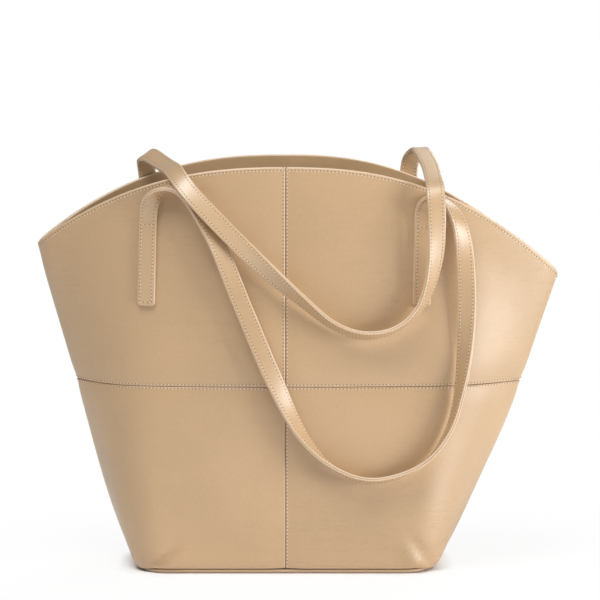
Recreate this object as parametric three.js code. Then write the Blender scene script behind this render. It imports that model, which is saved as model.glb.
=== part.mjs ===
// A leather tote bag with an arched mouth, a boxed base and two long stitched handles.
// Millimetres, +Z up, the front looks along -Y. The origin lies on the floor under the middle of the base.
import * as THREE from "three";

// Base.
const baseLength = 270;
const baseDepth = 116;
const baseCornerRadius = 30;
const basePanelThickness = 3.6;
const basePanelEdgeRound = 1.2;
const boardThickness = 2;

// Mouth. The leather has settled, so its two ends hang at different heights and its rim is a little askew.
const backRimHeight = 370;
const frontRimDip = 5;
const mouthDepth = 96;
const leftEndReach = 225;
const leftEndSetback = 8;
const leftEndHeight = 293;
const rightEndReach = 246;
const rightEndSetback = -8;
const rightEndHeight = 267;
const archPower = 2.45;
const backRightSag = 5;
const sagPower = 2.5;

// Walls.
const bellyDepth = 6;
const leftSideBow = 7.5;
const rightSideBow = 11;
const sideBowPower = 0.6;
const footRound = 8;
const footTuck = 2;
const seamHeight = 169;
const seamGap = 0.3;
const leatherThickness = 2.2;
const hemHeight = 8;
const hemThickness = 3.1;

// What lies inside the walls, layer after layer.
const layerGap = 0.3;
const patchThickness = 0.6;
const patchWidth = 30;
const patchMarginWidth = 6;
const facingThickness = 1.4;
const facingHeight = 38;
const liningThickness = 0.8;

// Handles. Each is a strap of two layers, sewn flat to a wall at both ends.
const strapWidth = 16;
const strapLayerThickness = 1.6;
const strapEdgeBevel = 0.5;
const handleReach = 123;
const handleDepth = 273;
const tabLength = 71;
const tabTopDepth = 36;
const tabCornerRadius = 3;
const frontTabSlant = 0.025;
const strapCutGap = 0.3;

const FRONT = -1;
const BACK = 1;
const LEFT = -1;
const RIGHT = 1;

const frontRimHeight = backRimHeight - frontRimDip;
const wallFoot = basePanelThickness + layerGap;
const strapThickness = 2 * strapLayerThickness + layerGap;
const patchDepth = leatherThickness + layerGap;
const facingDepth = patchDepth + patchThickness + layerGap;
const boardFloor = basePanelThickness + layerGap;
const liningFloor = boardFloor + boardThickness + layerGap;
const liningFoot = liningFloor + liningThickness + layerGap;

const leather = { color: 0xc9a87f, roughness: 0.5, metalness: 0 };
const backing = { color: 0xbf9c72, roughness: 0.6, metalness: 0 };
const fabric = { color: 0xa98f6d, roughness: 0.95, metalness: 0 };
const fibreboard = { color: 0x7c6a55, roughness: 0.9, metalness: 0 };

const bag = new THREE.Group();
bag.name = "tote_bag";

function addMesh(name, geometry, finish) {
  const mesh = new THREE.Mesh(geometry, new THREE.MeshStandardMaterial(finish));
  mesh.name = name;
  bag.add(mesh);
}

// The outline of the base from the middle of the long side to the middle of the short one.
const baseQuarter = new THREE.Path();
baseQuarter.moveTo(0, baseDepth / 2);
baseQuarter.lineTo(baseLength / 2 - baseCornerRadius, baseDepth / 2);
baseQuarter.absarc(
  baseLength / 2 - baseCornerRadius,
  baseDepth / 2 - baseCornerRadius,
  baseCornerRadius,
  Math.PI / 2,
  0,
  true
);
baseQuarter.lineTo(baseLength / 2, 0);

function endOf(side) {
  if (side === LEFT) {
    return { x: -leftEndReach, y: leftEndSetback, z: leftEndHeight, bow: leftSideBow, sag: 0 };
  }
  return { x: rightEndReach, y: rightEndSetback, z: rightEndHeight, bow: rightSideBow, sag: backRightSag };
}

function rimHeight(face, x) {
  const top = face === FRONT ? frontRimHeight : backRimHeight;
  const end = endOf(x < 0 ? LEFT : RIGHT);
  const share = Math.abs(x / end.x);
  const sag = face === BACK ? end.sag * Math.sin(Math.PI * Math.min(share, 1) ** sagPower) : 0;
  return top - (top - end.z) * share ** archPower - sag;
}

// A quarter of the rim, seen from above, from the middle of a wall to one end of the mouth.
const rimQuarters = new Map();
for (const face of [FRONT, BACK]) {
  for (const side of [LEFT, RIGHT]) {
    const end = endOf(side);
    const reach = face * mouthDepth / 2 - end.y;
    const quarter = new THREE.EllipseCurve(0, end.y, end.x, reach, Math.PI / 2, 0, true);
    rimQuarters.set(`${face} ${side}`, quarter);
  }
}

// The outer face of a wall. Along runs from -1 at the left side seam to 1 at the right one, in equal
// lengths of the outline, and up runs from 0 at the foot to 1 at the rim.
function wallPoint(face, along, up) {
  const side = along < 0 ? LEFT : RIGHT;
  const share = Math.min(Math.abs(along), 1);
  const low = baseQuarter.getPointAt(share);
  const lowTangent = baseQuarter.getTangentAt(share);
  const high = rimQuarters.get(`${face} ${side}`).getPointAt(share);
  const rim = rimHeight(face, high.x);
  const point = new THREE.Vector3(
    THREE.MathUtils.lerp(side * low.x, high.x, up),
    THREE.MathUtils.lerp(face * low.y, high.y, up),
    THREE.MathUtils.lerp(wallFoot, rim, up)
  );
  point.y += face * bellyDepth * 4 * up * (1 - up) * (1 - share * share);
  const bowShare = Math.sin(Math.PI * THREE.MathUtils.clamp(up, 0, 1) ** sideBowPower);
  point.x += side * endOf(side).bow * bowShare * THREE.MathUtils.smoothstep(share, 0, 1);
  const above = Math.min((point.z - wallFoot) / footRound, 1);
  const tuck = footTuck * (1 - above) ** 2;
  point.x += side * lowTangent.y * tuck;
  point.y -= face * lowTangent.x * tuck;
  return point;
}

function wallNormal(face, along, up) {
  const step = 1e-3;
  const left = wallPoint(face, Math.max(along - step, -1), up);
  const right = wallPoint(face, Math.min(along + step, 1), up);
  const below = wallPoint(face, along, Math.max(up - step, 0));
  const above = wallPoint(face, along, up + step);
  const normal = right.sub(left).cross(above.sub(below)).normalize();
  return normal.multiplyScalar(-face);
}

// The place on a wall with that x and that height, found by halving.
const halvings = 40;
function wallPlace(face, x, z) {
  let low = -1;
  let high = 1;
  let along = 0;
  let up = 0;
  for (let step = 0; step < halvings; step += 1) {
    along = (low + high) / 2;
    const side = along < 0 ? LEFT : RIGHT;
    const rim = rimHeight(face, rimQuarters.get(`${face} ${side}`).getPointAt(Math.abs(along)).x);
    up = (z - wallFoot) / (rim - wallFoot);
    if (wallPoint(face, along, up).x < x) {
      low = along;
    } else {
      high = along;
    }
  }
  return { along, up };
}

// How far up a wall a height above the floor lies, and a drop below the rim.
function upAtHeight(face, along, z) {
  return (z - wallFoot) / (wallPoint(face, along, 1).z - wallFoot);
}

function upAtDrop(face, along, drop) {
  return 1 - drop / (wallPoint(face, along, 1).z - wallFoot);
}

function range(from, to, count) {
  return Array.from({ length: count + 1 }, (_, index) => THREE.MathUtils.lerp(from, to, index / count));
}

// Turns a closed mesh's faces outward.
function closedGeometry(points, faces) {
  let volume = 0;
  for (const [a, b, c] of faces) {
    volume += points[a].dot(new THREE.Vector3().crossVectors(points[b], points[c]));
  }
  const turned = volume < 0 ? faces.map(([a, b, c]) => [a, c, b]) : faces;
  const geometry = new THREE.BufferGeometry().setFromPoints(points);
  geometry.setIndex(turned.flat());
  geometry.computeVertexNormals();
  return geometry;
}

// A sheet of even grid cells with an outer and an inner face.
function sheetGeometry(outer, inner) {
  const columns = outer.length;
  const rows = outer[0].length;
  const points = [...outer.flat(), ...inner.flat()];
  const faces = [];
  const outside = (column, row) => column * rows + row;
  const inside = (column, row) => columns * rows + outside(column, row);
  const quad = (a, b, c, d) => faces.push([a, b, c], [a, c, d]);
  for (let column = 0; column + 1 < columns; column += 1) {
    for (let row = 0; row + 1 < rows; row += 1) {
      const next = column + 1;
      const above = row + 1;
      quad(outside(column, row), outside(next, row), outside(next, above), outside(column, above));
      quad(inside(column, row), inside(column, above), inside(next, above), inside(next, row));
    }
    const last = rows - 1;
    quad(outside(column, 0), inside(column, 0), inside(column + 1, 0), outside(column + 1, 0));
    quad(outside(column, last), outside(column + 1, last), inside(column + 1, last), inside(column, last));
  }
  for (let row = 0; row + 1 < rows; row += 1) {
    const last = columns - 1;
    quad(outside(0, row), outside(0, row + 1), inside(0, row + 1), inside(0, row));
    quad(outside(last, row), inside(last, row), inside(last, row + 1), outside(last, row + 1));
  }
  return closedGeometry(points, faces);
}

// A sheet that follows a wall. Each row of the list says how far up the wall it lies and at which depths
// below the wall's outer face the sheet begins and ends there.
function wallSheet(face, alongs, rowsAt) {
  const outer = [];
  const inner = [];
  for (const along of alongs) {
    const rows = rowsAt(along).map(({ up, from, to }) => {
      const point = wallPoint(face, along, up);
      const normal = wallNormal(face, along, up);
      return {
        out: point.clone().addScaledVector(normal, -from),
        in: point.clone().addScaledVector(normal, -to),
      };
    });
    outer.push(rows.map((row) => row.out));
    inner.push(rows.map((row) => row.in));
  }
  return sheetGeometry(outer, inner);
}

// Along values of one half wall, with half a seam gap left at the middle and at the side seam.
const halfOutline = baseQuarter.getLength();
const seamShare = seamGap / 2 / halfOutline;
const panelColumns = 13;
function halfAlongs(side) {
  return range(seamShare, 1 - seamShare, panelColumns).map((along) => side * along);
}
function fullAlongs() {
  return range(-1 + seamShare, 1 - seamShare, 2 * panelColumns);
}

// Four wall panels a side, sewn together at the middle and at seam height. The upper ones are turned in
// at the rim, where the leather lies double.
const footRises = [0, footRound / 3, footRound];
const lowerRows = 5;
const upperRows = 6;
for (const [face, faceName] of [[FRONT, "front"], [BACK, "back"]]) {
  for (const [side, sideName] of [[LEFT, "left"], [RIGHT, "right"]]) {
    addMesh(
      `${faceName}_lower_${sideName}_panel`,
      wallSheet(face, halfAlongs(side), (along) => {
        const rounded = footRises.map((rise) => wallFoot + rise);
        const straight = range(wallFoot + footRound, seamHeight - seamGap / 2, lowerRows).slice(1);
        return [...rounded, ...straight].map((z) => ({
          up: upAtHeight(face, along, z),
          from: 0,
          to: leatherThickness,
        }));
      }),
      leather
    );
    addMesh(
      `${faceName}_upper_${sideName}_panel`,
      wallSheet(face, halfAlongs(side), (along) => {
        const first = upAtHeight(face, along, seamHeight + seamGap / 2);
        const hem = upAtDrop(face, along, hemHeight);
        const hemStep = upAtDrop(face, along, hemHeight - hemThickness);
        const single = range(first, hem, upperRows).map((up) => ({ up, from: 0, to: leatherThickness }));
        return [...single, { up: hemStep, from: 0, to: hemThickness }, { up: 1, from: 0, to: hemThickness }];
      }),
      leather
    );
  }
}

// Leather facing behind the rim, and the fabric lining that hangs from it.
const liningRows = 5;
for (const [face, faceName] of [[FRONT, "front"], [BACK, "back"]]) {
  addMesh(
    `${faceName}_rim_facing`,
    wallSheet(face, fullAlongs(), (along) =>
      range(upAtDrop(face, along, facingHeight), 1, 2).map((up) => ({
        up,
        from: facingDepth,
        to: facingDepth + facingThickness,
      }))
    ),
    leather
  );
  addMesh(
    `${faceName}_lining`,
    wallSheet(face, fullAlongs(), (along) => {
      const foot = upAtHeight(face, along, liningFoot);
      const top = upAtDrop(face, along, facingHeight + layerGap);
      return range(foot, top, liningRows).map((up) => ({
        up,
        from: facingDepth,
        to: facingDepth + liningThickness,
      }));
    }),
    fabric
  );
}

// Flat pieces of the base: the leather panel, the board that stiffens it and the lining on top.
const cornerSegments = 8;
const edgeSegments = 2;
function roundedPlate(inset, thickness, floor, edgeRound) {
  const halfLength = baseLength / 2 - inset - edgeRound;
  const halfDepth = baseDepth / 2 - inset - edgeRound;
  const radius = Math.max(baseCornerRadius - inset - edgeRound, edgeRound);
  const outline = new THREE.Shape();
  outline.moveTo(-halfLength + radius, -halfDepth);
  outline.absarc(halfLength - radius, -halfDepth + radius, radius, -Math.PI / 2, 0, false);
  outline.absarc(halfLength - radius, halfDepth - radius, radius, 0, Math.PI / 2, false);
  outline.absarc(-halfLength + radius, halfDepth - radius, radius, Math.PI / 2, Math.PI, false);
  outline.absarc(-halfLength + radius, -halfDepth + radius, radius, Math.PI, 1.5 * Math.PI, false);
  const geometry = new THREE.ExtrudeGeometry(outline, {
    depth: thickness - 2 * edgeRound,
    curveSegments: cornerSegments,
    bevelEnabled: edgeRound > 0,
    bevelThickness: edgeRound,
    bevelSize: edgeRound,
    bevelSegments: edgeSegments,
  });
  geometry.translate(0, 0, floor + edgeRound);
  return geometry;
}

const insideWalls = footTuck + leatherThickness + 2 * layerGap;
addMesh("base_panel", roundedPlate(footTuck, basePanelThickness, 0, basePanelEdgeRound), leather);
addMesh("base_board", roundedPlate(insideWalls, boardThickness, boardFloor, 0), fibreboard);
addMesh("base_lining", roundedPlate(insideWalls, liningThickness, liningFloor, 0), fabric);

// Handle routes. A row that is sewn down gives how far right of the middle the strap's centre line lies
// and how far below the rim, both in millimetres. A row that hangs gives how far right it lies in handle
// reaches, how far below the rim in handle depths, how far it stands off the wall in strap widths and how
// many degrees the edge on the inside of the loop leans out. A row over the mouth gives how far right it
// lies in handle reaches, which share of the mouth it has crossed from the back, how far above the back
// rim it runs in strap widths and which way its width points.
function sewn(face, x, drop, side) {
  const place = wallPlace(face, x, rimHeight(face, x) - drop);
  const normal = wallNormal(face, place.along, place.up);
  const point = wallPoint(face, place.along, place.up);
  point.addScaledVector(normal, layerGap + strapThickness / 2);
  const width = new THREE.Vector3(0, 0, 1).cross(normal).multiplyScalar(face * side).normalize();
  return { point, width };
}

function hanging(reach, drop, standOff, lean) {
  const x = reach * handleReach;
  const z = rimHeight(FRONT, x) - drop * handleDepth;
  const place = wallPlace(FRONT, x, z);
  const point = wallPoint(FRONT, place.along, place.up);
  point.y -= standOff * strapWidth;
  return { point, lean: THREE.MathUtils.degToRad(lean) };
}

function overMouth(reach, share, rise, width) {
  const x = reach * handleReach;
  const z = rimHeight(BACK, x);
  const back = wallPlace(BACK, x, z);
  const front = wallPlace(FRONT, x, rimHeight(FRONT, x));
  const backY = wallPoint(BACK, back.along, back.up).y;
  const frontY = wallPoint(FRONT, front.along, front.up).y;
  const point = new THREE.Vector3(x, THREE.MathUtils.lerp(backY, frontY, share), z + rise * strapWidth);
  return { point, width: new THREE.Vector3(...width).normalize() };
}

const tabShares = [1, 0.55, 0.1, 0];
const tabDrops = tabShares.map((share) => tabTopDepth + share * tabLength);

// The front tabs are sewn on a little aslant.
function frontTab(tab, side) {
  const middle = tabTopDepth + tabLength / 2;
  return tabDrops.map((drop) => sewn(FRONT, tab + frontTabSlant * (middle - drop), drop, side));
}

const frontLeftTab = -handleReach;
const frontRightTab = 0.99 * handleReach;
const frontRows = [
  ...frontTab(frontLeftTab, LEFT),
  hanging(-0.9894, 0.0879, 0.2625, -187),
  hanging(-0.975, 0.0575, 0.488, -164),
  hanging(-0.932, 0.03, 0.684, -118),
  hanging(-0.874, 0.022, 0.733, -90),
  hanging(-0.813, 0.028, 0.722, -75),
  hanging(-0.735, 0.0513, 0.766, -62),
  hanging(-0.5366, 0.1905, 0.985, -30),
  hanging(-0.3087, 0.4432, 0.82, -5),
  hanging(-0.0894, 0.6813, 0.711, -20),
  hanging(0.1317, 0.8757, 0.7, -65),
  hanging(0.3577, 0.9745, 0.7, -100),
  hanging(0.5854, 1.0025, 0.7, -110),
  hanging(0.8049, 0.9707, 0.7, -109),
  hanging(1.0325, 0.8828, 0.722, -95),
  hanging(1.187, 0.7546, 0.793, -79),
  hanging(1.267, 0.6044, 0.793, -62),
  hanging(1.309, 0.3956, 0.738, -20),
  hanging(1.305, 0.2088, 0.875, 2),
  hanging(1.2561, 0.0659, 0.875, 38),
  hanging(1.2033, 0.034, 0.738, 62),
  hanging(1.1463, 0.0195, 0.705, 78),
  hanging(1.0894, 0.0125, 0.705, 90),
  hanging(1.0325, 0.0256, 0.7, 110),
  hanging(1.0057, 0.0586, 0.394, 155),
  hanging(0.9976, 0.0879, 0.219, 172),
  ...frontTab(frontRightTab, RIGHT).toReversed(),
];
const frontLeftCut = 7;
const frontRightCut = 25;

// Below the back rim the strap still lies on the wall this far down.
const leaveDepth = 6;
const backLeftTab = -1.024 * handleReach;
const backRightTab = 0.911 * handleReach;
const backRows = [
  ...tabDrops.map((drop) => sewn(BACK, backLeftTab, drop, LEFT)),
  sewn(BACK, backLeftTab, leaveDepth, LEFT),
  overMouth(-1.0407, -0.03, 0.6375, [0.95, 0.15, 0.2]),
  overMouth(-1.0472, 0.083, 1.2125, [0.75, 0.35, 0.55]),
  overMouth(-1.0024, 0.22, 1.1375, [0.8, 0.25, 0.55]),
  overMouth(-0.9293, 0.47, 0.706, [0.85, 0.15, 0.5]),
  overMouth(-0.8634, 0.75, 0.37, [0.9, 0.1, 0.42]),
  overMouth(-0.8057, 1.02, 0.1, [0.88, 0.1, 0.46]),
  hanging(-0.748, 0.0165, 1.012, -20),
  hanging(-0.6748, 0.061, 1.3675, -25),
  hanging(-0.5366, 0.1355, 1.477, -15),
  hanging(-0.3415, 0.2344, 1.258, 0),
  hanging(-0.0976, 0.3443, 1.012, 28),
  hanging(0.1301, 0.4322, 0.864, 54),
  hanging(0.3496, 0.5055, 0.782, 65),
  hanging(0.5772, 0.5275, 0.777, 63),
  hanging(0.8049, 0.4835, 0.8, 74),
  hanging(0.9756, 0.3883, 0.93, 68),
  hanging(1.0732, 0.2381, 1.176, 42),
  hanging(1.0894, 0.0989, 1.559, 12),
  hanging(1.0837, 0.0183, 1.504, 4),
  hanging(1.0797, -0.022, 1.067, 2),
  overMouth(1.069, 1.02, 0.681, [-1, 0, 0]),
  overMouth(1.0545, 0.75, 1.1375, [-1, -0.05, 0]),
  overMouth(1.0236, 0.46, 1.4875, [-0.98, -0.15, 0]),
  overMouth(1.0032, 0.25, 1.644, [-0.95, -0.3, 0]),
  overMouth(0.987, 0.082, 1.656, [-0.9, -0.4, 0]),
  overMouth(0.9415, -0.01, 1.1, [-0.93, -0.35, 0.05]),
  overMouth(0.9187, -0.045, 0.475, [-0.99, 0.08, 0.03]),
  sewn(BACK, backRightTab, leaveDepth, RIGHT),
  ...tabDrops.toReversed().map((drop) => sewn(BACK, backRightTab, drop, RIGHT)),
];
const backLeftCut = 6;
const backRightCut = 29;

// A smooth route through the rows: the strap's centre line and the way its width points. Leather doesn't
// kink, so both are evened out along their length.
const routeStep = 1;
const eveningPasses = 48;
function strapRoute(rows) {
  const points = rows.map((row) => row.point);
  const widths = rows.map((row, index) => {
    if (row.width) {
      return row.width;
    }
    const ahead = points[index + 1].clone().sub(points[index - 1]).normalize();
    const inward = new THREE.Vector3(-ahead.z, 0, ahead.x).normalize();
    return inward.multiplyScalar(Math.cos(row.lean)).add(new THREE.Vector3(0, -Math.sin(row.lean), 0));
  });
  const spans = rows.length - 1;
  const line = new THREE.CatmullRomCurve3(points);
  const turn = new THREE.CatmullRomCurve3(widths, false, "catmullrom", 0.5);
  const count = Math.round(line.getLength() / routeStep);
  line.arcLengthDivisions = count;
  line.updateArcLengths();
  const ats = range(0, 1, count).map((share) => line.getUtoTmapping(share));
  let centres = ats.map((at) => line.getPoint(at));
  let turns = ats.map((at) => turn.getPoint(at));
  const evened = (vectors) =>
    vectors.map((vector, index) => {
      if (index === 0 || index === count) {
        return vector;
      }
      const beside = vectors[index - 1].clone().add(vectors[index + 1]);
      return beside.addScaledVector(vector, 2).multiplyScalar(1 / 4);
    });
  for (let pass = 0; pass < eveningPasses; pass += 1) {
    centres = evened(centres);
    turns = evened(turns);
  }
  return { points, rowShares: ats.map((at) => at * spans), centres, turns };
}

// The centre, the heading and the width of a strap at a place on its route, counted in rows.
function strapAt(route, row) {
  const last = route.rowShares.length - 1;
  const found = route.rowShares.findIndex((share) => share > row);
  const above = found < 0 ? last : Math.max(found, 1);
  const below = above - 1;
  const share = (row - route.rowShares[below]) / (route.rowShares[above] - route.rowShares[below]);
  const centre = route.centres[below].clone().lerp(route.centres[above], share);
  const width = route.turns[below].clone().lerp(route.turns[above], share);
  const before = route.centres[Math.max(below - 1, 0)];
  const after = route.centres[Math.min(above + 1, last)];
  const ahead = after.clone().sub(before).normalize();
  return { centre, ahead, width };
}

// One layer of a strap between two places on its route, counted in rows. Side is 1 for the layer on the
// front of the loop's turn and -1 for the one behind it. A cut end stands square to its heading.
function strapLayer(route, places, side) {
  const near = layerGap / 2;
  const far = near + strapLayerThickness;
  const sections = places.map(({ at, halfWidth, shift, heading }) => {
    const { centre, ahead: onward, width } = strapAt(route, at);
    const ahead = heading ?? onward;
    width.addScaledVector(ahead, -width.dot(ahead)).normalize();
    const normal = new THREE.Vector3().crossVectors(width, ahead).multiplyScalar(side);
    centre.addScaledVector(ahead, shift ?? 0);
    const corners = [
      [-halfWidth, near],
      [halfWidth, near],
      [halfWidth, far - strapEdgeBevel],
      [halfWidth - strapEdgeBevel, far],
      [-halfWidth + strapEdgeBevel, far],
      [-halfWidth, far - strapEdgeBevel],
    ];
    return corners.map(([across, out]) =>
      centre.clone().addScaledVector(width, across).addScaledVector(normal, out)
    );
  });
  const sides = sections[0].length;
  const faces = [];
  for (let ring = 0; ring + 1 < sections.length; ring += 1) {
    for (let corner = 0; corner < sides; corner += 1) {
      const next = (corner + 1) % sides;
      const here = ring * sides;
      const there = here + sides;
      faces.push([here + corner, here + next, there + next], [here + corner, there + next, there + corner]);
    }
  }
  const lastRing = (sections.length - 1) * sides;
  for (let corner = 1; corner + 1 < sides; corner += 1) {
    faces.push([0, corner + 1, corner], [lastRing, lastRing + corner, lastRing + corner + 1]);
  }
  return closedGeometry(sections.flat(), faces);
}

// Places along a strap end, from its rounded corners at the foot of the tab to the cut at the crest.
const cornerShares = [0, 0.1, 0.3, 0.6, 1];
function endPlaces(route, foot, cut, heading) {
  const toward = Math.sign(cut - foot);
  const firstSpan = route.points[foot].distanceTo(route.points[foot + toward]);
  const halfWidth = strapWidth / 2;
  const rounded = cornerShares.map((share) => {
    const along = share * tabCornerRadius;
    const left = tabCornerRadius - along;
    const narrowing = tabCornerRadius - Math.sqrt(tabCornerRadius ** 2 - left ** 2);
    return { at: foot + toward * along / firstSpan, halfWidth: halfWidth - narrowing };
  });
  const stepsPerRow = 2;
  const count = Math.abs(cut - foot) * stepsPerRow;
  const rest = range(foot, cut, count).slice(1).map((at) => ({ at, halfWidth }));
  const last = rest[rest.length - 1];
  last.heading = heading;
  last.shift = -toward * strapCutGap / 2;
  return [...rounded, ...rest];
}

function loopPlaces(from, to, fromHeading, toHeading) {
  const halfWidth = strapWidth / 2;
  const stepsPerRow = 3;
  const places = range(from, to, (to - from) * stepsPerRow).map((at) => ({ at, halfWidth }));
  Object.assign(places[0], { heading: fromHeading, shift: strapCutGap / 2 });
  Object.assign(places[places.length - 1], { heading: toHeading, shift: -strapCutGap / 2 });
  return places;
}

function addHandle(name, rows, leftCut, rightCut, faceSide, leftHeading, rightHeading) {
  const route = strapRoute(rows);
  const pieces = {
    [`${name}_left_end`]: endPlaces(route, 0, leftCut, leftHeading),
    [`${name}_loop`]: loopPlaces(leftCut, rightCut, leftHeading, rightHeading),
    [`${name}_right_end`]: endPlaces(route, rows.length - 1, rightCut, rightHeading),
  };
  for (const [piece, places] of Object.entries(pieces)) {
    addMesh(`${piece}_face`, strapLayer(route, places, faceSide), leather);
    addMesh(`${piece}_backing`, strapLayer(route, places, -faceSide), backing);
  }
}

const rightward = new THREE.Vector3(1, 0, 0);
const leftward = new THREE.Vector3(-1, 0, 0);
addHandle("front_handle", frontRows, frontLeftCut, frontRightCut, 1, rightward, leftward);
addHandle("back_handle", backRows, backLeftCut, backRightCut, -1);

// Patches behind the tabs, which spread the pull of the handles over the wall.
for (const [name, face, tab] of [
  ["front_left_patch", FRONT, frontLeftTab],
  ["front_right_patch", FRONT, frontRightTab],
  ["back_left_patch", BACK, backLeftTab],
  ["back_right_patch", BACK, backRightTab],
]) {
  const drops = range(tabTopDepth + tabLength + patchMarginWidth, tabTopDepth - patchMarginWidth, 3);
  const xs = range(tab - patchWidth / 2, tab + patchWidth / 2, 2);
  const middle = rimHeight(face, tab) - tabTopDepth - tabLength / 2;
  const alongs = xs.map((x) => wallPlace(face, x, middle).along);
  addMesh(
    name,
    wallSheet(face, alongs, (along) =>
      drops.map((drop) => ({
        up: upAtDrop(face, along, drop),
        from: patchDepth,
        to: patchDepth + patchThickness,
      }))
    ),
    fabric
  );
}

export default bag;
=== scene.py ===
import math

import bpy
import numpy as np
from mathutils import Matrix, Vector


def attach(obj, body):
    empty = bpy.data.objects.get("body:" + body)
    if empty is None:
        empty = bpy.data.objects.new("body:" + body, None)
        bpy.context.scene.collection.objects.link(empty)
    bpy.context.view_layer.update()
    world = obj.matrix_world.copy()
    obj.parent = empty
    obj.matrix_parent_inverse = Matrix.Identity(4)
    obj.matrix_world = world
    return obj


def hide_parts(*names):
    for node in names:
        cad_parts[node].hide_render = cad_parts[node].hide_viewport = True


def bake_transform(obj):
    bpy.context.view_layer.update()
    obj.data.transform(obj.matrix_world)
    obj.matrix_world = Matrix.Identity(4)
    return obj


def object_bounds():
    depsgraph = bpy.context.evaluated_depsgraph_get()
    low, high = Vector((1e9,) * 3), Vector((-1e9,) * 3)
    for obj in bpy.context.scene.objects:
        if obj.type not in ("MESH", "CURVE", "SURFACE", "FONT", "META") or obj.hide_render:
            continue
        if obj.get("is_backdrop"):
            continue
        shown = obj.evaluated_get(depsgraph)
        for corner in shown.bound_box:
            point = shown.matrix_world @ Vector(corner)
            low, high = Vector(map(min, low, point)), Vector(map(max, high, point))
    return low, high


# A leather tote bag. Lengths are written in millimetres and turned into metres where a mesh is made.
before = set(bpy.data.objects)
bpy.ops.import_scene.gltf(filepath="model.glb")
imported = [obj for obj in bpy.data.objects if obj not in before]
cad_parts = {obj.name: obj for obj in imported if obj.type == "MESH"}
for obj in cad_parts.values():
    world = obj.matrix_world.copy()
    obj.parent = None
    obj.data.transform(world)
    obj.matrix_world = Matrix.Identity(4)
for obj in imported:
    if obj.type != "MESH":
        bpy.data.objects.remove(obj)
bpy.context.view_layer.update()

MM = 0.001
FRONT = -1
BACK = 1
LEFT = -1
RIGHT = 1
FACE_NAMES = {FRONT: "front", BACK: "back"}
SIDE_NAMES = {LEFT: "left", RIGHT: "right"}

# The form of the bag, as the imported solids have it.
BASE_LENGTH = 270
BASE_DEPTH = 116
BASE_RADIUS = 30
BASE_THICKNESS = 3.6
BACK_RIM_HEIGHT = 370
FRONT_RIM_HEIGHT = 365
MOUTH_DEPTH = 96
LEFT_END = (-225, 8, 293)
RIGHT_END = (246, -8, 267)
ARCH_POWER = 2.45
BACK_RIGHT_SAG = 5
SAG_POWER = 2.5
BELLY_DEPTH = 6
LEFT_SIDE_BOW = 7.5
RIGHT_SIDE_BOW = 11
SIDE_BOW_POWER = 0.6
FOOT_ROUND = 8
FOOT_TUCK = 2
WALL_FOOT = 3.9
SEAM_HEIGHT = 169
SEAM_GAP = 0.3
LEATHER_THICKNESS = 2.2
HEM_HEIGHT = 8
HEM_THICKNESS = 3.1
PATCH_DEPTH = 2.5
PATCH_THICKNESS = 0.6
PATCH_WIDTH = 30
PATCH_MARGIN = 6
FACING_DEPTH = 3.4
FACING_THICKNESS = 1.4
FACING_HEIGHT = 38
LINING_THICKNESS = 0.8
LINING_FOOT = 7.3
LINING_FLOOR = 6.2
LAYER_GAP = 0.3
FLOOR_INSET = 4.8
STRAP_WIDTH = 16
STRAP_LAYER = 1.6
HANDLE_REACH = 123
HANDLE_DEPTH = 273
TAB_LENGTH = 71
TAB_TOP_DEPTH = 36
TAB_CORNER = 3
FRONT_TAB_SLANT = 0.025


def smoothstep(value, low=0.0, high=1.0):
    share = np.clip((value - low) / (high - low), 0, 1)
    return share * share * (3 - 2 * share)


def bell(distance, reach):
    return np.exp(-((distance / reach) ** 2))


def unit(vectors):
    return vectors / np.linalg.norm(vectors, axis=-1, keepdims=True)


def base_outline(share):
    """A quarter of the base's outline with its direction, from mid-side to mid-end."""
    straight = BASE_LENGTH / 2 - BASE_RADIUS
    arc = BASE_RADIUS * math.pi / 2
    end = BASE_DEPTH / 2 - BASE_RADIUS
    run = share * (straight + arc + end)
    turn = np.clip((run - straight) / BASE_RADIUS, 0, math.pi / 2)
    x = np.minimum(run, straight) + BASE_RADIUS * np.sin(turn)
    y = BASE_DEPTH / 2 - BASE_RADIUS * (1 - np.cos(turn)) - np.maximum(run - straight - arc, 0)
    return x, y, np.cos(turn), -np.sin(turn)


def rim_outline(face, end, share):
    """A quarter of the rim seen from above, in equal lengths."""
    turn = np.linspace(0, math.pi / 2, 801)
    reach = face * MOUTH_DEPTH / 2 - end[1]
    x = end[0] * np.sin(turn)
    y = end[1] + reach * np.cos(turn)
    run = np.concatenate([[0], np.cumsum(np.hypot(np.diff(x), np.diff(y)))])
    return np.interp(share * run[-1], run, x), np.interp(share * run[-1], run, y)


def rim_height(face, x):
    right = np.asarray(x) >= 0
    share = np.abs(x) / np.where(right, RIGHT_END[0], -LEFT_END[0])
    top = FRONT_RIM_HEIGHT if face == FRONT else BACK_RIM_HEIGHT
    height = top - (top - np.where(right, RIGHT_END[2], LEFT_END[2])) * share**ARCH_POWER
    if face == BACK:
        sag = BACK_RIGHT_SAG * np.sin(math.pi * np.minimum(share, 1) ** SAG_POWER)
        height = height - np.where(right, sag, 0)
    return height


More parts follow.
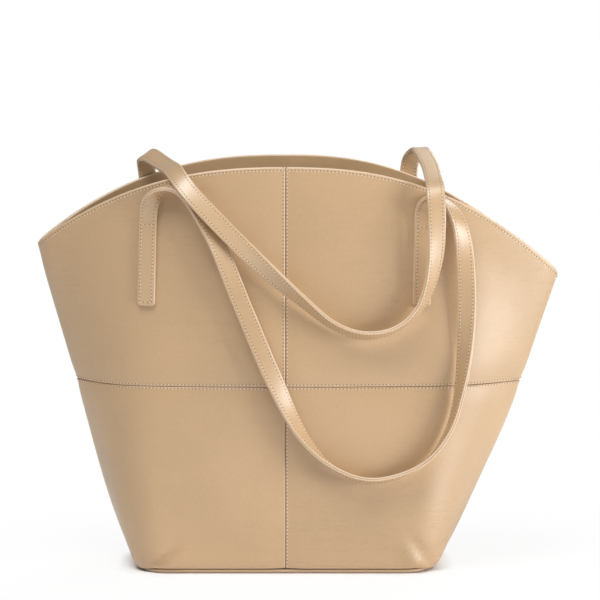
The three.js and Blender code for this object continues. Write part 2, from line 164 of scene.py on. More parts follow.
def wall_points(face, along, up):
    """The outer face of a wall. Along is -1 at the left side seam and 1 at the right one, up is 0 to 1."""
    along, up = np.broadcast_arrays(np.asarray(along, float), np.asarray(up, float))
    left = along < 0
    side = np.where(left, LEFT, RIGHT)
    share = np.minimum(np.abs(along), 1)
    low_x, low_y, ahead_x, ahead_y = base_outline(share)
    left_x, left_y = rim_outline(face, LEFT_END, share)
    right_x, right_y = rim_outline(face, RIGHT_END, share)
    high_x = np.where(left, left_x, right_x)
    high_y = np.where(left, left_y, right_y)
    x = side * low_x * (1 - up) + high_x * up
    y = face * low_y * (1 - up) + high_y * up
    z = WALL_FOOT * (1 - up) + rim_height(face, high_x) * up
    y = y + face * BELLY_DEPTH * 4 * up * (1 - up) * (1 - share**2)
    most_bow = np.where(left, LEFT_SIDE_BOW, RIGHT_SIDE_BOW)
    bow = most_bow * np.sin(math.pi * np.clip(up, 0, 1) ** SIDE_BOW_POWER)
    x = x + side * bow * smoothstep(share)
    tuck = FOOT_TUCK * (1 - np.minimum((z - WALL_FOOT) / FOOT_ROUND, 1)) ** 2
    x = x + side * ahead_y * tuck
    y = y - face * ahead_x * tuck
    return np.stack([x, y, z], -1)


def wall_normals(face, along, up):
    step = 1e-3
    before = wall_points(face, np.maximum(along - step, -1), up)
    after = wall_points(face, np.minimum(along + step, 1), up)
    across = after - before
    rise = wall_points(face, along, up + step) - wall_points(face, along, np.maximum(up - step, 0))
    return -face * unit(np.cross(across, rise))


def wall_top(face, along):
    return wall_points(face, along, 1.0)[..., 2]


def up_at_height(face, along, height):
    return (height - WALL_FOOT) / (wall_top(face, along) - WALL_FOOT)


def up_at_drop(face, along, drop):
    return 1 - drop / (wall_top(face, along) - WALL_FOOT)


def half_length(face, side, up):
    """How long one half of a wall is, along the leather, at each height."""
    shares = np.linspace(0, 1, 41)
    run = np.stack([wall_points(face, side * share, up) for share in shares])
    return np.linalg.norm(np.diff(run, axis=0), axis=-1).sum(0)


def wall_place(face, x, z):
    low = -1.0
    high = 1.0
    for _ in range(40):
        along = (low + high) / 2
        up = up_at_height(face, along, z)
        if wall_points(face, along, up)[0] < x:
            low = along
        else:
            high = along
    return along, float(up)


# Where the tabs' middles lie in x.
TAB_PLACES = {
    FRONT: (-HANDLE_REACH, 0.99 * HANDLE_REACH),
    BACK: (-1.024 * HANDLE_REACH, 0.911 * HANDLE_REACH),
}
# Soft folds at the corners of the base, as start and end in x and z, and how deep they are.
CORNER_FOLDS = {
    FRONT: [((-126, 3), (-90, 30), 3.4), ((133, 4), (104, 43), 2.9)],
    BACK: [((-121, 5), (-98, 34), 1.2), ((120, 5), (94, 30), 1.4)],
}
# The folds fade out between these heights, because the foot of the wall is sewn to the base.
FOLD_RISE = (4, 11)
# A fold is a valley with a ridge beside it. It sets in and dies away between these shares of its length.
FOLD_START = (-0.1, 0.1)
FOLD_END = (0.4, 1.1)
VALLEY_WIDTH = 3.8
RIDGE_WIDTH = 6.5
RIDGE_OFFSET = 9
RIDGE_SHARE = 0.7


def fold(x, z, start, end, depth):
    run = np.subtract(end, start)
    length = np.hypot(*run)
    ahead = ((x - start[0]) * run[0] + (z - start[1]) * run[1]) / length**2
    beside = ((x - start[0]) * run[1] - (z - start[1]) * run[0]) / length * np.sign(run[0])
    fade = smoothstep(ahead, *FOLD_START) * (1 - smoothstep(ahead, *FOLD_END))
    valley = bell(beside, VALLEY_WIDTH)
    ridge = bell(beside - RIDGE_OFFSET, RIDGE_WIDTH)
    return depth * fade * (RIDGE_SHARE * ridge - valley)


# How deep the seams are pulled in and how far to each side. The upright seam also has a wider, softer pull,
# which sets in between two heights.
SEAM_PULL = 1.0
SEAM_PULL_REACH = 10
WIDE_PULL = 1.2
WIDE_PULL_REACH = 34
WIDE_PULL_RISE = (20, 90)
# The slack of the leather: a broad swell and a smaller ripple, which die away towards the rim and the foot.
SWELL_DEPTH = 1.2
RIPPLE_DEPTH = 0.6
RIM_CALM = (4, 40)
FOOT_CALM = (5, 30)
# Behind a tab the leather is held flat over this half width. It sets in between these heights below the rim.
TAB_CALM = 19
TAB_CALM_RISE = (-125, -108)


def relief(face, points):
    """How far the leather stands out from the plain wall: slack swells, pulled-in seams and corner folds."""
    x = points[..., 0]
    z = points[..., 2]
    rim = rim_height(face, x)
    pull = SEAM_PULL * (bell(x, SEAM_PULL_REACH) + bell(z - SEAM_HEIGHT, SEAM_PULL_REACH))
    pull = pull + WIDE_PULL * bell(x, WIDE_PULL_REACH) * smoothstep(z, *WIDE_PULL_RISE)
    swell = SWELL_DEPTH * np.sin(x / 41 + 0.7 * face) * np.sin(z / 43 + 0.5)
    swell = swell + RIPPLE_DEPTH * np.sin(x / 24 + z / 33 + 1.7)
    swell = swell * smoothstep(rim - z, *RIM_CALM) * smoothstep(z, *FOOT_CALM)
    for tab in TAB_PLACES[face]:
        beside = np.exp(-(((x - tab) / TAB_CALM) ** 4))
        swell = swell * (1 - beside * smoothstep(z - rim, *TAB_CALM_RISE))
    out = swell - pull
    for start, end, depth in CORNER_FOLDS[face]:
        out = out + fold(x, z, start, end, depth) * smoothstep(z, *FOLD_RISE)
    return out


def layer_points(face, along, up, depth):
    """Points at a depth below the leather's outer face."""
    points = wall_points(face, along, up)
    return points + wall_normals(face, along, up) * (relief(face, points) - depth)[..., None]


# Between these distances from the middle the base's edge passes out of sight behind the foot of the wall:
# the edge steps back, and the foot sinks past it, from this height down.
EDGE_HIDES = (116, 134)
EDGE_SETBACK = 2.4
FOOT_SINK = 2.4
SINK_HEIGHT = 20


def corner_sink(face, along, up):
    """How far the foot of a wall hangs down past the base's edge at the corners and ends."""
    low_x = base_outline(np.minimum(np.abs(along), 1))[0]
    height = wall_points(face, along, up)[..., 2] - WALL_FOOT
    return FOOT_SINK * smoothstep(low_x, *EDGE_HIDES) * (1 - smoothstep(height, 0, SINK_HEIGHT))


def new_object(name, points, quads, caps, material, uv=None, edge=None):
    """A closed piece of four-cornered faces and flat end caps, turned outward by the sign of its volume."""
    points = np.asarray(points, float)
    quads = np.asarray(quads)
    a, b, c, d = (points[quads[:, corner]] for corner in range(4))
    volume = np.einsum("ij,ij->", a, np.cross(b, c) + np.cross(c, d))
    for cap in caps:
        fan = points[cap]
        volume += np.cross(fan[1:-1], fan[2:]).sum(0) @ fan[0]
    if volume < 0:
        quads = quads[:, ::-1]
        caps = [cap[::-1] for cap in caps]
    mesh = bpy.data.meshes.new(name)
    mesh.from_pydata((points * MM).tolist(), [], [*quads.tolist(), *caps])
    mesh.polygons.foreach_set("use_smooth", [True] * len(quads) + [False] * len(caps))
    if uv is not None:
        layer = mesh.uv_layers.new(name="cloth")
        corner_points = np.empty(len(mesh.loops), int)
        mesh.loops.foreach_get("vertex_index", corner_points)
        layer.data.foreach_set("uv", (np.asarray(uv) * MM)[corner_points].ravel())
    if edge is not None:
        attribute = mesh.attributes.new("cut_edge_and_painted_light", "FLOAT", "POINT")
        attribute.data.foreach_set("value", np.asarray(edge, np.float32))
    mesh.materials.append(material)
    mesh.validate()
    item = bpy.data.objects.new(name, mesh)
    bpy.context.scene.collection.objects.link(item)
    return item


def sheet_faces(columns, rows):
    """Faces of a closed sheet whose points are an outer grid followed by an inner one."""
    index = np.arange(2 * columns * rows).reshape(2, columns, rows)
    out = index[0]
    back = index[1]
    quads = [
        np.stack([out[:-1, :-1], out[1:, :-1], out[1:, 1:], out[:-1, 1:]], -1).reshape(-1, 4),
        np.stack([back[:-1, :-1], back[:-1, 1:], back[1:, 1:], back[1:, :-1]], -1).reshape(-1, 4),
        np.stack([out[:-1, 0], back[:-1, 0], back[1:, 0], out[1:, 0]], -1),
        np.stack([out[:-1, -1], out[1:, -1], back[1:, -1], back[:-1, -1]], -1),
        np.stack([out[0, :-1], out[0, 1:], back[0, 1:], back[0, :-1]], -1),
        np.stack([out[-1, :-1], back[-1, :-1], back[-1, 1:], out[-1, 1:]], -1),
    ]
    return np.concatenate(quads)


def ring_faces(rings, corners):
    """Faces of a run of equal rings and its two end caps."""
    index = np.arange(rings * corners).reshape(rings, corners)
    after = np.roll(index, -1, axis=1)
    quads = np.stack([index[:-1], after[:-1], after[1:], index[1:]], -1).reshape(-1, 4)
    return quads, [index[0, ::-1].tolist(), index[-1].tolist()]


def sheet_object(name, outer, inner, material, uv=None, edge=None):
    columns, rows = outer.shape[:2]
    points = np.concatenate([outer.reshape(-1, 3), inner.reshape(-1, 3)])
    both_uv = None if uv is None else np.concatenate([uv.reshape(-1, 2)] * 2)
    both_edge = None if edge is None else np.concatenate([edge.ravel()] * 2)
    return new_object(name, points, sheet_faces(columns, rows), [], material, both_uv, both_edge)


def rounded(distance, radius):
    """How deep a rounded edge lies at a distance from the cut."""
    left = np.clip(radius - distance, 0, radius)
    return radius - np.sqrt(np.maximum(radius**2 - left**2, 0))


def socket(group, name, kind, direction, value=None):
    made = group.interface.new_socket(name=name, in_out=direction, socket_type=kind)
    if value is not None:
        made.default_value = value
    return made


def add(tree, kind, **settings):
    node = tree.nodes.new(kind)
    for key, value in settings.items():
        setattr(node, key, value)
    return node


def link(tree, source, target):
    tree.links.new(source, target)


def math_node(tree, operation, first, second):
    node = add(tree, "ShaderNodeMath", operation=operation)
    for index, value in enumerate((first, second)):
        if isinstance(value, (int, float)):
            node.inputs[index].default_value = value
        else:
            link(tree, value, node.inputs[index])
    return node.outputs[0]


def map_range(tree, value, low, high, to_low, to_high):
    node = add(tree, "ShaderNodeMapRange", clamp=True)
    link(tree, value, node.inputs["Value"])
    for name, number in zip(("From Min", "From Max", "To Min", "To Max"), (low, high, to_low, to_high)):
        node.inputs[name].default_value = number
    return node.outputs["Result"]


def noise(tree, vector, scale, detail=2.0, roughness=0.5):
    node = add(tree, "ShaderNodeTexNoise")
    link(tree, vector, node.inputs["Vector"])
    node.inputs["Scale"].default_value = scale
    node.inputs["Detail"].default_value = detail
    node.inputs["Roughness"].default_value = roughness
    return node.outputs["Fac"]


def mix_colour(tree, share, first, second, blend="MIX"):
    node = add(tree, "ShaderNodeMix", data_type="RGBA", blend_type=blend)
    for target, value in zip((node.inputs[0], node.inputs[6], node.inputs[7]), (share, first, second)):
        if isinstance(value, (int, float)):
            target.default_value = value
        elif isinstance(value, tuple):
            target.default_value = value
        else:
            link(tree, value, target)
    return node.outputs[2]


def stretched(tree, vector, scale):
    node = add(tree, "ShaderNodeMapping")
    node.inputs["Scale"].default_value = scale
    link(tree, vector, node.inputs["Vector"])
    return node.outputs[0]


def leather_group():
    """Smooth calf leather: cloudy tone, fine pores, faint drawn wrinkles with painted shade in their creases,
    and an edge tone laid on by a mask: the paler cut edge with a painted highlight along it, and on the base
    a painted shade at the foot.
    """
    group = bpy.data.node_groups.new("smooth_leather", "ShaderNodeTree")
    socket(group, "Place", "NodeSocketVector", "INPUT")
    socket(group, "Cut Edge And Painted Light", "NodeSocketFloat", "INPUT", 0.0)
    socket(group, "Light Tone", "NodeSocketColor", "INPUT")
    socket(group, "Dark Tone", "NodeSocketColor", "INPUT")
    socket(group, "Edge Tone", "NodeSocketColor", "INPUT")
    socket(group, "Wrinkles", "NodeSocketFloat", "INPUT", 1.0)
    socket(group, "Dullness", "NodeSocketFloat", "INPUT", 0.4)
    socket(group, "Colour", "NodeSocketColor", "OUTPUT")
    socket(group, "Roughness", "NodeSocketFloat", "OUTPUT")
    socket(group, "Height", "NodeSocketFloat", "OUTPUT")
    given = add(group, "NodeGroupInput").outputs
    made = add(group, "NodeGroupOutput").inputs
    place = given["Place"]
    cloud = map_range(group, noise(group, place, 11, 4, 0.55), 0.36, 0.64, 0, 1)
    speck = map_range(group, noise(group, place, 520, 2, 0.6), 0.3, 0.7, 0.965, 1.03)
    pores = add(group, "ShaderNodeTexVoronoi", feature="SMOOTH_F1")
    link(group, place, pores.inputs["Vector"])
    pores.inputs["Scale"].default_value = 1150
    pores.inputs["Smoothness"].default_value = 0.6
    lines = noise(group, stretched(group, place, (13, 13, 95)), 1.0, 3, 0.6)
    off_line = math_node(group, "ABSOLUTE", math_node(group, "SUBTRACT", lines, 0.5), 0.0)
    crease = map_range(group, off_line, 0.0, 0.022, 1, 0)
    patch = map_range(group, noise(group, place, 9, 2), 0.47, 0.62, 0, 1)
    wrinkle = math_node(group, "MULTIPLY", math_node(group, "MULTIPLY", crease, patch), given["Wrinkles"])
    tone = mix_colour(group, cloud, given["Light Tone"], given["Dark Tone"])
    speckled = mix_colour(group, 1.0, tone, speck, "MULTIPLY")
    # Painted shade: the colour is darkened by up to a tenth along the wrinkle creases.
    crease_shade = map_range(group, wrinkle, 0, 1, 1, 0.9)
    shaded = mix_colour(group, 1.0, speckled, crease_shade, "MULTIPLY")
    edged = mix_colour(group, given["Cut Edge And Painted Light"], shaded, given["Edge Tone"])
    link(group, edged, made["Colour"])
    dull = math_node(group, "MULTIPLY_ADD", cloud, 0.09)
    link(group, given["Dullness"], dull.node.inputs[2])
    link(group, dull, made["Roughness"])
    pore_height = math_node(group, "MULTIPLY", pores.outputs["Distance"], 0.35)
    soft = math_node(group, "MULTIPLY", noise(group, place, 190, 3, 0.55), 0.5)
    height = math_node(group, "SUBTRACT", math_node(group, "ADD", pore_height, soft), wrinkle)
    link(group, height, made["Height"])
    return group


def weave_group():
    """A plain weave read from the cloth's own UV map, with painted shade in the gaps between the threads."""
    group = bpy.data.node_groups.new("plain_weave", "ShaderNodeTree")
    socket(group, "Place", "NodeSocketVector", "INPUT")
    socket(group, "Thread Tone", "NodeSocketColor", "INPUT")
    socket(group, "Gap Shade Tone", "NodeSocketColor", "INPUT")
    socket(group, "Threads per metre", "NodeSocketFloat", "INPUT", 1100.0)
    socket(group, "Colour", "NodeSocketColor", "OUTPUT")
    socket(group, "Height", "NodeSocketFloat", "OUTPUT")
    given = add(group, "NodeGroupInput").outputs
    made = add(group, "NodeGroupOutput").inputs
    waves = []
    for direction in ("X", "Y"):
        wave = add(group, "ShaderNodeTexWave", bands_direction=direction)
        link(group, given["Place"], wave.inputs["Vector"])
        link(group, given["Threads per metre"], wave.inputs["Scale"])
        wave.inputs["Distortion"].default_value = 0.6
        waves.append(wave.outputs["Fac"])
    # Painted shade: where the weave is low, between the threads, the colour takes the darker gap tone.
    height = math_node(group, "MULTIPLY", waves[0], waves[1])
    link(group, mix_colour(group, height, given["Gap Shade Tone"], given["Thread Tone"]), made["Colour"])
    link(group, height, made["Height"])
    return group


def new_material(name):
    material = bpy.data.materials.new(name)
    material.use_nodes = True
    tree = material.node_tree
    return material, tree, tree.nodes["Principled BSDF"]


def bump(tree, height, strength, distance, shader):
    node = add(tree, "ShaderNodeBump")
    node.inputs["Strength"].default_value = strength
    node.inputs["Distance"].default_value = distance
    link(tree, height, node.inputs["Height"])
    link(tree, node.outputs["Normal"], shader.inputs["Normal"])


SMOOTH_LEATHER = leather_group()
PLAIN_WEAVE = weave_group()


# The finish of the leather: a clear coat over a plain surface, and how deep the grain is in metres.
COAT_WEIGHT = 0.6
COAT_ROUGHNESS = 0.42
GRAIN_STRENGTH = 0.3
GRAIN_DEPTH = 0.0003


def leather(name, light, dark, edge, wrinkles, dullness):
    material, tree, shader = new_material(name)
    group = add(tree, "ShaderNodeGroup", node_tree=SMOOTH_LEATHER)
    place = add(tree, "ShaderNodeTexCoord")
    cut_edge_and_painted_light = add(tree, "ShaderNodeAttribute", attribute_name="cut_edge_and_painted_light")
    link(tree, place.outputs["Object"], group.inputs["Place"])
    link(tree, cut_edge_and_painted_light.outputs["Fac"], group.inputs["Cut Edge And Painted Light"])
    group.inputs["Light Tone"].default_value = (*light, 1)
    group.inputs["Dark Tone"].default_value = (*dark, 1)
    group.inputs["Edge Tone"].default_value = (*edge, 1)
    group.inputs["Wrinkles"].default_value = wrinkles
    group.inputs["Dullness"].default_value = dullness
    link(tree, group.outputs["Colour"], shader.inputs["Base Color"])
    link(tree, group.outputs["Roughness"], shader.inputs["Roughness"])
    shader.inputs["Specular IOR Level"].default_value = 1.0
    shader.inputs["Coat Weight"].default_value = COAT_WEIGHT
    shader.inputs["Coat Roughness"].default_value = COAT_ROUGHNESS
    bump(tree, group.outputs["Height"], GRAIN_STRENGTH, GRAIN_DEPTH, shader)
    return material


# Each pale edge tone is the leather's cut edge and also a painted highlight along the rounded edges.
PANEL_LEATHER = leather(
    "panel_leather",
    light=(0.54, 0.35, 0.182),
    dark=(0.50, 0.325, 0.168),
    edge=(0.70, 0.52, 0.35),
    wrinkles=0.7,
    dullness=0.42,
)
# The base's edge tone is dark: a painted shade for the contact shadow along the foot of the base.
BASE_LEATHER = leather(
    "base_leather",
    light=(0.50, 0.325, 0.175),
    dark=(0.46, 0.30, 0.16),
    edge=(0.13, 0.075, 0.045),
    wrinkles=0.2,
    dullness=0.5,
)
STRAP_LEATHER = leather(
    "strap_leather",
    light=(0.575, 0.385, 0.212),
    dark=(0.535, 0.355, 0.192),
    edge=(0.67, 0.48, 0.31),
    wrinkles=0.2,
    dullness=0.36,
)
BACKING_LEATHER = leather(
    "strap_backing",
    light=(0.53, 0.345, 0.18),
    dark=(0.48, 0.31, 0.16),
    edge=(0.70, 0.52, 0.35),
    wrinkles=0.2,
    dullness=0.42,
)


WEAVE_STRENGTH = 0.5


def lining_material():
    material, tree, shader = new_material("lining_cloth")
    group = add(tree, "ShaderNodeGroup", node_tree=PLAIN_WEAVE)
    place = add(tree, "ShaderNodeTexCoord")
    link(tree, place.outputs["UV"], group.inputs["Place"])
    group.inputs["Thread Tone"].default_value = (0.42, 0.31, 0.2, 1)
    group.inputs["Gap Shade Tone"].default_value = (0.27, 0.19, 0.12, 1)
    link(tree, group.outputs["Colour"], shader.inputs["Base Color"])
    shader.inputs["Roughness"].default_value = 0.9
    shader.inputs["Sheen Weight"].default_value = 0.25
    bump(tree, group.outputs["Height"], WEAVE_STRENGTH, GRAIN_DEPTH, shader)
    return material


def speckled_material(name, light, dark, scale, rough, strength):
    material, tree, shader = new_material(name)
    place = add(tree, "ShaderNodeTexCoord")
    grain = noise(tree, place.outputs["Object"], scale, 3, 0.6)
    share = map_range(tree, grain, 0.35, 0.65, 0, 1)
    link(tree, mix_colour(tree, share, (*dark, 1), (*light, 1)), shader.inputs["Base Color"])
    link(tree, map_range(tree, grain, 0.3, 0.7, rough, rough - 0.1), shader.inputs["Roughness"])
    bump(tree, grain, strength, GRAIN_DEPTH, shader)
    return material


LINING_CLOTH = lining_material()
THREAD = speckled_material("waxed_thread", (0.82, 0.70, 0.54), (0.70, 0.57, 0.42), 2400, 0.6, 0.4)
# The needle holes are dark dots: painted shade standing in for the hollow of each hole.
NEEDLE_HOLE_SHADE = speckled_material("needle_hole_shade", (0.2, 0.115, 0.06), (0.13, 0.07, 0.035), 1800, 0.9, 0.2)
FIBREBOARD = speckled_material("fibreboard", (0.25, 0.18, 0.12), (0.17, 0.12, 0.08), 700, 0.95, 0.5)


def sewn_on(item, slot, *nodes):
    """A piece that stays with the bag and stands for these nodes."""
    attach(item, "bag")
    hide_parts(*nodes)
    return item


# Panels. Grid lines crowd towards the cut edges, where the leather is rounded over.
EDGE_STEPS = np.array([0, 0.1, 0.25, 0.5, 0.85, 1.3, 2, 3, 4.5, 6.5, 9])
SEAM_ROUND = 1.0
RIM_ROUND = 1.5
PANEL_COLUMNS = 40
PANEL_ROWS = 34
SPREAD_PASSES = 3
# The hem thins out over this height, is rounded inside, and no rounding leaves less leather than this.
HEM_FADE = 3
HEM_INNER_ROUND = 0.8
LEAST_LEATHER = 0.4
# How wide the paler edge tone shows at the rim and at the seams, and how much of it at the seams. It is the
# leather's cut edge and also a painted highlight along the rounded edge.
RIM_EDGE = 1.3
SEAM_EDGE = 0.9
SEAM_EDGE_SHARE = 0.55


def spread(total, near, count):
    """Places from 0 to a total, close together at both ends. The total may be an array."""
    total = np.asarray(total, float)[..., None]
    middle = np.linspace(0, 1, count + 2)[1:-1]
    low = np.broadcast_to(near, (*total.shape[:-1], len(near)))
    inner = near[-1] + (total - 2 * near[-1]) * middle
    return np.concatenate([low, inner, total - near[::-1]], -1)


def panel(face, side, upper):
    low = SEAM_HEIGHT + SEAM_GAP / 2 if upper else WALL_FOOT
    guess = np.linspace(0, 1, 2 * len(EDGE_STEPS) + PANEL_COLUMNS)
    along = side * np.tile(guess[:, None], (1, 2 * len(EDGE_STEPS) + PANEL_ROWS))
    for _ in range(SPREAD_PASSES):
        top = wall_top(face, along[:, 0]) if upper else np.full(len(along), SEAM_HEIGHT - SEAM_GAP / 2)
        rise = spread(top - low, EDGE_STEPS, PANEL_ROWS)
        up = up_at_height(face, along, low + rise)
        length = np.stack([half_length(face, side, row) for row in up.mean(0)])
        across = SEAM_GAP / 2 + spread(length - SEAM_GAP, EDGE_STEPS, PANEL_COLUMNS).T
        along = side * np.clip(across / length, 0, 1)
    from_top = (top - low)[:, None] - rise
    from_side = length - across
    depth = rounded(across - SEAM_GAP / 2, SEAM_ROUND) + rounded(from_side - SEAM_GAP / 2, SEAM_ROUND)
    depth = depth + rounded(rise, SEAM_ROUND) + rounded(from_top, RIM_ROUND if upper else SEAM_ROUND)
    thickness = np.full(depth.shape, LEATHER_THICKNESS)
    if upper:
        hem = 1 - smoothstep(from_top, HEM_HEIGHT - HEM_FADE, HEM_HEIGHT)
        thickness = thickness + (HEM_THICKNESS - LEATHER_THICKNESS) * hem - rounded(from_top, HEM_INNER_ROUND)
    outer = layer_points(face, along, up, np.minimum(depth, LEATHER_THICKNESS - LEAST_LEATHER))
    inner = layer_points(face, along, up, thickness)
    if not upper:
        sink = corner_sink(face, along, up)
        outer[..., 2] -= sink
        inner[..., 2] -= sink
    edge = bell(from_top, RIM_EDGE) if upper else np.zeros(depth.shape)
    for distance in (across, from_side, rise):
        edge = np.maximum(edge, SEAM_EDGE_SHARE * bell(distance, SEAM_EDGE))
    name = f"{FACE_NAMES[face]}_{'upper' if upper else 'lower'}_{SIDE_NAMES[side]}_panel"
    item = sheet_object(f"{name}_leather", outer, inner, PANEL_LEATHER, edge=edge)
    return sewn_on(item, "panel_leather", name)


for wall in (FRONT, BACK):
    for half in (LEFT, RIGHT):
        for is_upper in (False, True):
            panel(wall, half, is_upper)


# How wide the paler edge tone shows along the top of the facing: the cut edge, with a painted highlight on
# its rounding.
FACING_EDGE = 1.0


def wall_band(
    name, face, alongs, drops_at, depth, thickness, material, slot, node, cloth=None, round_top=0.0
):
    """A sheet inside a wall between two heights. drops_at gives the drops below the rim for each column.

    For a cloth, cloth says how it is held and by what; only whether it is given is read, to give the sheet a
    UV map.
    """
    drops = np.stack([drops_at(along) for along in alongs])
    along = np.tile(alongs[:, None], (1, drops.shape[1]))
    up = up_at_drop(face, along, drops)
    first = drops - drops[:, -1:]
    outer = layer_points(face, along, up, depth + rounded(first, round_top))
    inner = layer_points(face, along, up, depth + thickness - rounded(first, round_top))
    edge = bell(first, FACING_EDGE) if round_top else np.zeros(along.shape)
    uv = None
    if cloth:
        lengths = np.stack([half_length(face, RIGHT, row) for row in up.mean(0)])
        uv = np.stack([along * lengths, -drops], -1)
    item = sheet_object(name, outer, inner, material, uv, edge)
    return sewn_on(item, slot, node)


# Facings and linings run from side seam to side seam, a hair short of them, with closer columns at the ends.
BAND_ENDS = 0.0012
NEAR_ENDS = 0.9
END_COLUMNS = 14
MIDDLE_COLUMNS = 91
full_alongs = np.concatenate([
    np.linspace(-1 + BAND_ENDS, -NEAR_ENDS, END_COLUMNS)[:-1],
    np.linspace(-NEAR_ENDS, NEAR_ENDS, MIDDLE_COLUMNS),
    np.linspace(NEAR_ENDS, 1 - BAND_ENDS, END_COLUMNS)[1:],
])
# Rows of the facing below the rim, closer together at its rounded top.
FACING_DROPS = np.array([FACING_HEIGHT, 37.6, 36.8, 34, 28, 21, 14, 9, 5.5, 3, 1.6, 0.9, 0.45, 0.2, 0])
FACING_ROUND = 0.65
LINING_ROWS = 46
PATCH_COLUMNS = 13
PATCH_ROWS = 29
for wall in (FRONT, BACK):
    word = FACE_NAMES[wall]
    wall_band(
        f"{word}_facing_leather", wall, full_alongs, lambda along: FACING_DROPS, FACING_DEPTH,
        FACING_THICKNESS, PANEL_LEATHER, "panel_leather", f"{word}_rim_facing", round_top=FACING_ROUND
    )

    def lining_drops(along, wall=wall):
        return np.linspace(wall_top(wall, along) - LINING_FOOT, FACING_HEIGHT + LAYER_GAP, LINING_ROWS)

    wall_band(
        f"{word}_lining_cloth", wall, full_alongs, lining_drops, FACING_DEPTH, LINING_THICKNESS,
        LINING_CLOTH, "lining_fabric", f"{word}_lining", cloth=("hung", f"{word}_rim_facing")
    )
    for half, tab in zip((LEFT, RIGHT), TAB_PLACES[wall]):
        node = f"{word}_{SIDE_NAMES[half]}_patch"
        middle = float(rim_height(wall, tab)) - TAB_TOP_DEPTH - TAB_LENGTH / 2
        places = np.linspace(tab - PATCH_WIDTH / 2, tab + PATCH_WIDTH / 2, PATCH_COLUMNS)
        columns = np.array([wall_place(wall, x, middle)[0] for x in places])
        lowest = TAB_TOP_DEPTH + TAB_LENGTH + PATCH_MARGIN
        drops = np.linspace(lowest, TAB_TOP_DEPTH - PATCH_MARGIN, PATCH_ROWS)
        holder = f"{word}_upper_{SIDE_NAMES[half]}_panel"
        wall_band(
            f"{node}_cloth", wall, columns, lambda along, drops=drops: drops, PATCH_DEPTH, PATCH_THICKNESS,
            LINING_CLOTH, "lining_fabric", node, cloth=("stretched", holder)
        )


# Base. Its outline has this many points on each corner and on each side between the corners.
CORNER_POINTS = 14
SIDE_POINTS = 7


def plate_outline(inset):
    """The base's outline, going round once, moved inwards."""
    half_x = BASE_LENGTH / 2 - inset
    half_y = BASE_DEPTH / 2 - inset
    radius = BASE_RADIUS - inset
    turns = np.linspace(0, math.pi / 2, CORNER_POINTS)
    sides = np.linspace(0, 1, SIDE_POINTS + 2)[1:-1]
    points = []
    for quarter in range(4):
        sign_x, sign_y = ((1, 1), (-1, 1), (-1, -1), (1, -1))[quarter]
        turn = turns + quarter * math.pi / 2
        x = sign_x * (half_x - radius) + radius * np.cos(turn)
        y = sign_y * (half_y - radius) + radius * np.sin(turn)
        points += list(zip(x, y))
        next_x, next_y = ((-1, 1), (-1, -1), (1, -1), (1, 1))[quarter]
        turn_next = (quarter + 1) * math.pi / 2
        start = np.array(points[-1])
        end = np.array([next_x * (half_x - radius) + radius * math.cos(turn_next),
                        next_y * (half_y - radius) + radius * math.sin(turn_next)])
        points += [tuple(start + (end - start) * share) for share in sides]
    return np.array(points)


# The height in mm over which the base's lower edge is painted dark: a painted shade for the contact shadow
# where the base stands on the floor.
FOOT_SHADE_HEIGHT = 2.2


def plate(name, profile, material, slot, node, cloth=False, setback=0.0):
    """A flat piece of the base.

    The profile lists insets and heights from the middle below to the middle above. The setback moves the
    edge inwards at the corners and ends.
    """
    rings = [np.column_stack([plate_outline(inset), np.full(len(plate_outline(inset)), height)])
             for inset, height in profile]
    points = np.concatenate(rings)
    core = np.array([BASE_LENGTH / 2 - BASE_RADIUS, BASE_DEPTH / 2 - BASE_RADIUS])
    outward = unit(points[:, :2] - np.clip(points[:, :2], -core, core))
    points[:, :2] -= outward * setback * smoothstep(np.abs(points[:, :1]), *EDGE_HIDES)
    quads, caps = ring_faces(len(rings), len(rings[0]))
    # Painted shade: this mask darkens the base leather towards its bottom, standing in for its contact
    # shadow.
    edge = np.clip(1 - points[:, 2] / FOOT_SHADE_HEIGHT, 0, 1)
    uv = points[:, :2] if cloth else None
    item = new_object(name, points, quads, caps, material, uv, edge)
    return sewn_on(item, slot, node)


BASE_ROLL = 1.5
BASE_FLAT = 12
roll = [(FOOT_TUCK + rounded(rise, BASE_ROLL), rise) for rise in (0, 0.1, 0.3, 0.7, BASE_ROLL)]
roll_above = [(inset, BASE_THICKNESS - rise) for inset, rise in roll[::-1]]
plate("base_leather", [(BASE_FLAT, 0), *roll, *roll_above, (BASE_FLAT, BASE_THICKNESS)],
      BASE_LEATHER, "panel_leather", "base_panel", setback=EDGE_SETBACK)
floor_cloth = plate("base_lining_cloth",
                    [(FLOOR_INSET, LINING_FLOOR), (FLOOR_INSET, LINING_FLOOR + LINING_THICKNESS)],
                    LINING_CLOTH, "lining_fabric", "base_lining", cloth=True)
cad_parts["base_board"].data.materials.clear()
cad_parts["base_board"].data.materials.append(FIBREBOARD)


# Straps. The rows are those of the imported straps: sewn down, hanging in front, or crossing over the mouth.
STRAP_HALF = STRAP_LAYER + LAYER_GAP / 2


def sewn(face, x, drop, side):
    along, up = wall_place(face, x, float(rim_height(face, x)) - drop)
    normal = wall_normals(face, along, up)
    point = wall_points(face, along, up) + normal * (LAYER_GAP + STRAP_HALF)
    width = unit(np.cross([0, 0, 1], normal)) * face * side
    return point, width, None


def hanging(reach, drop, stand_off, lean):
    x = reach * HANDLE_REACH
    z = float(rim_height(FRONT, x)) - drop * HANDLE_DEPTH
    point = wall_points(FRONT, *wall_place(FRONT, x, z)).copy()
    point[1] -= stand_off * STRAP_WIDTH
    return point, None, math.radians(lean)


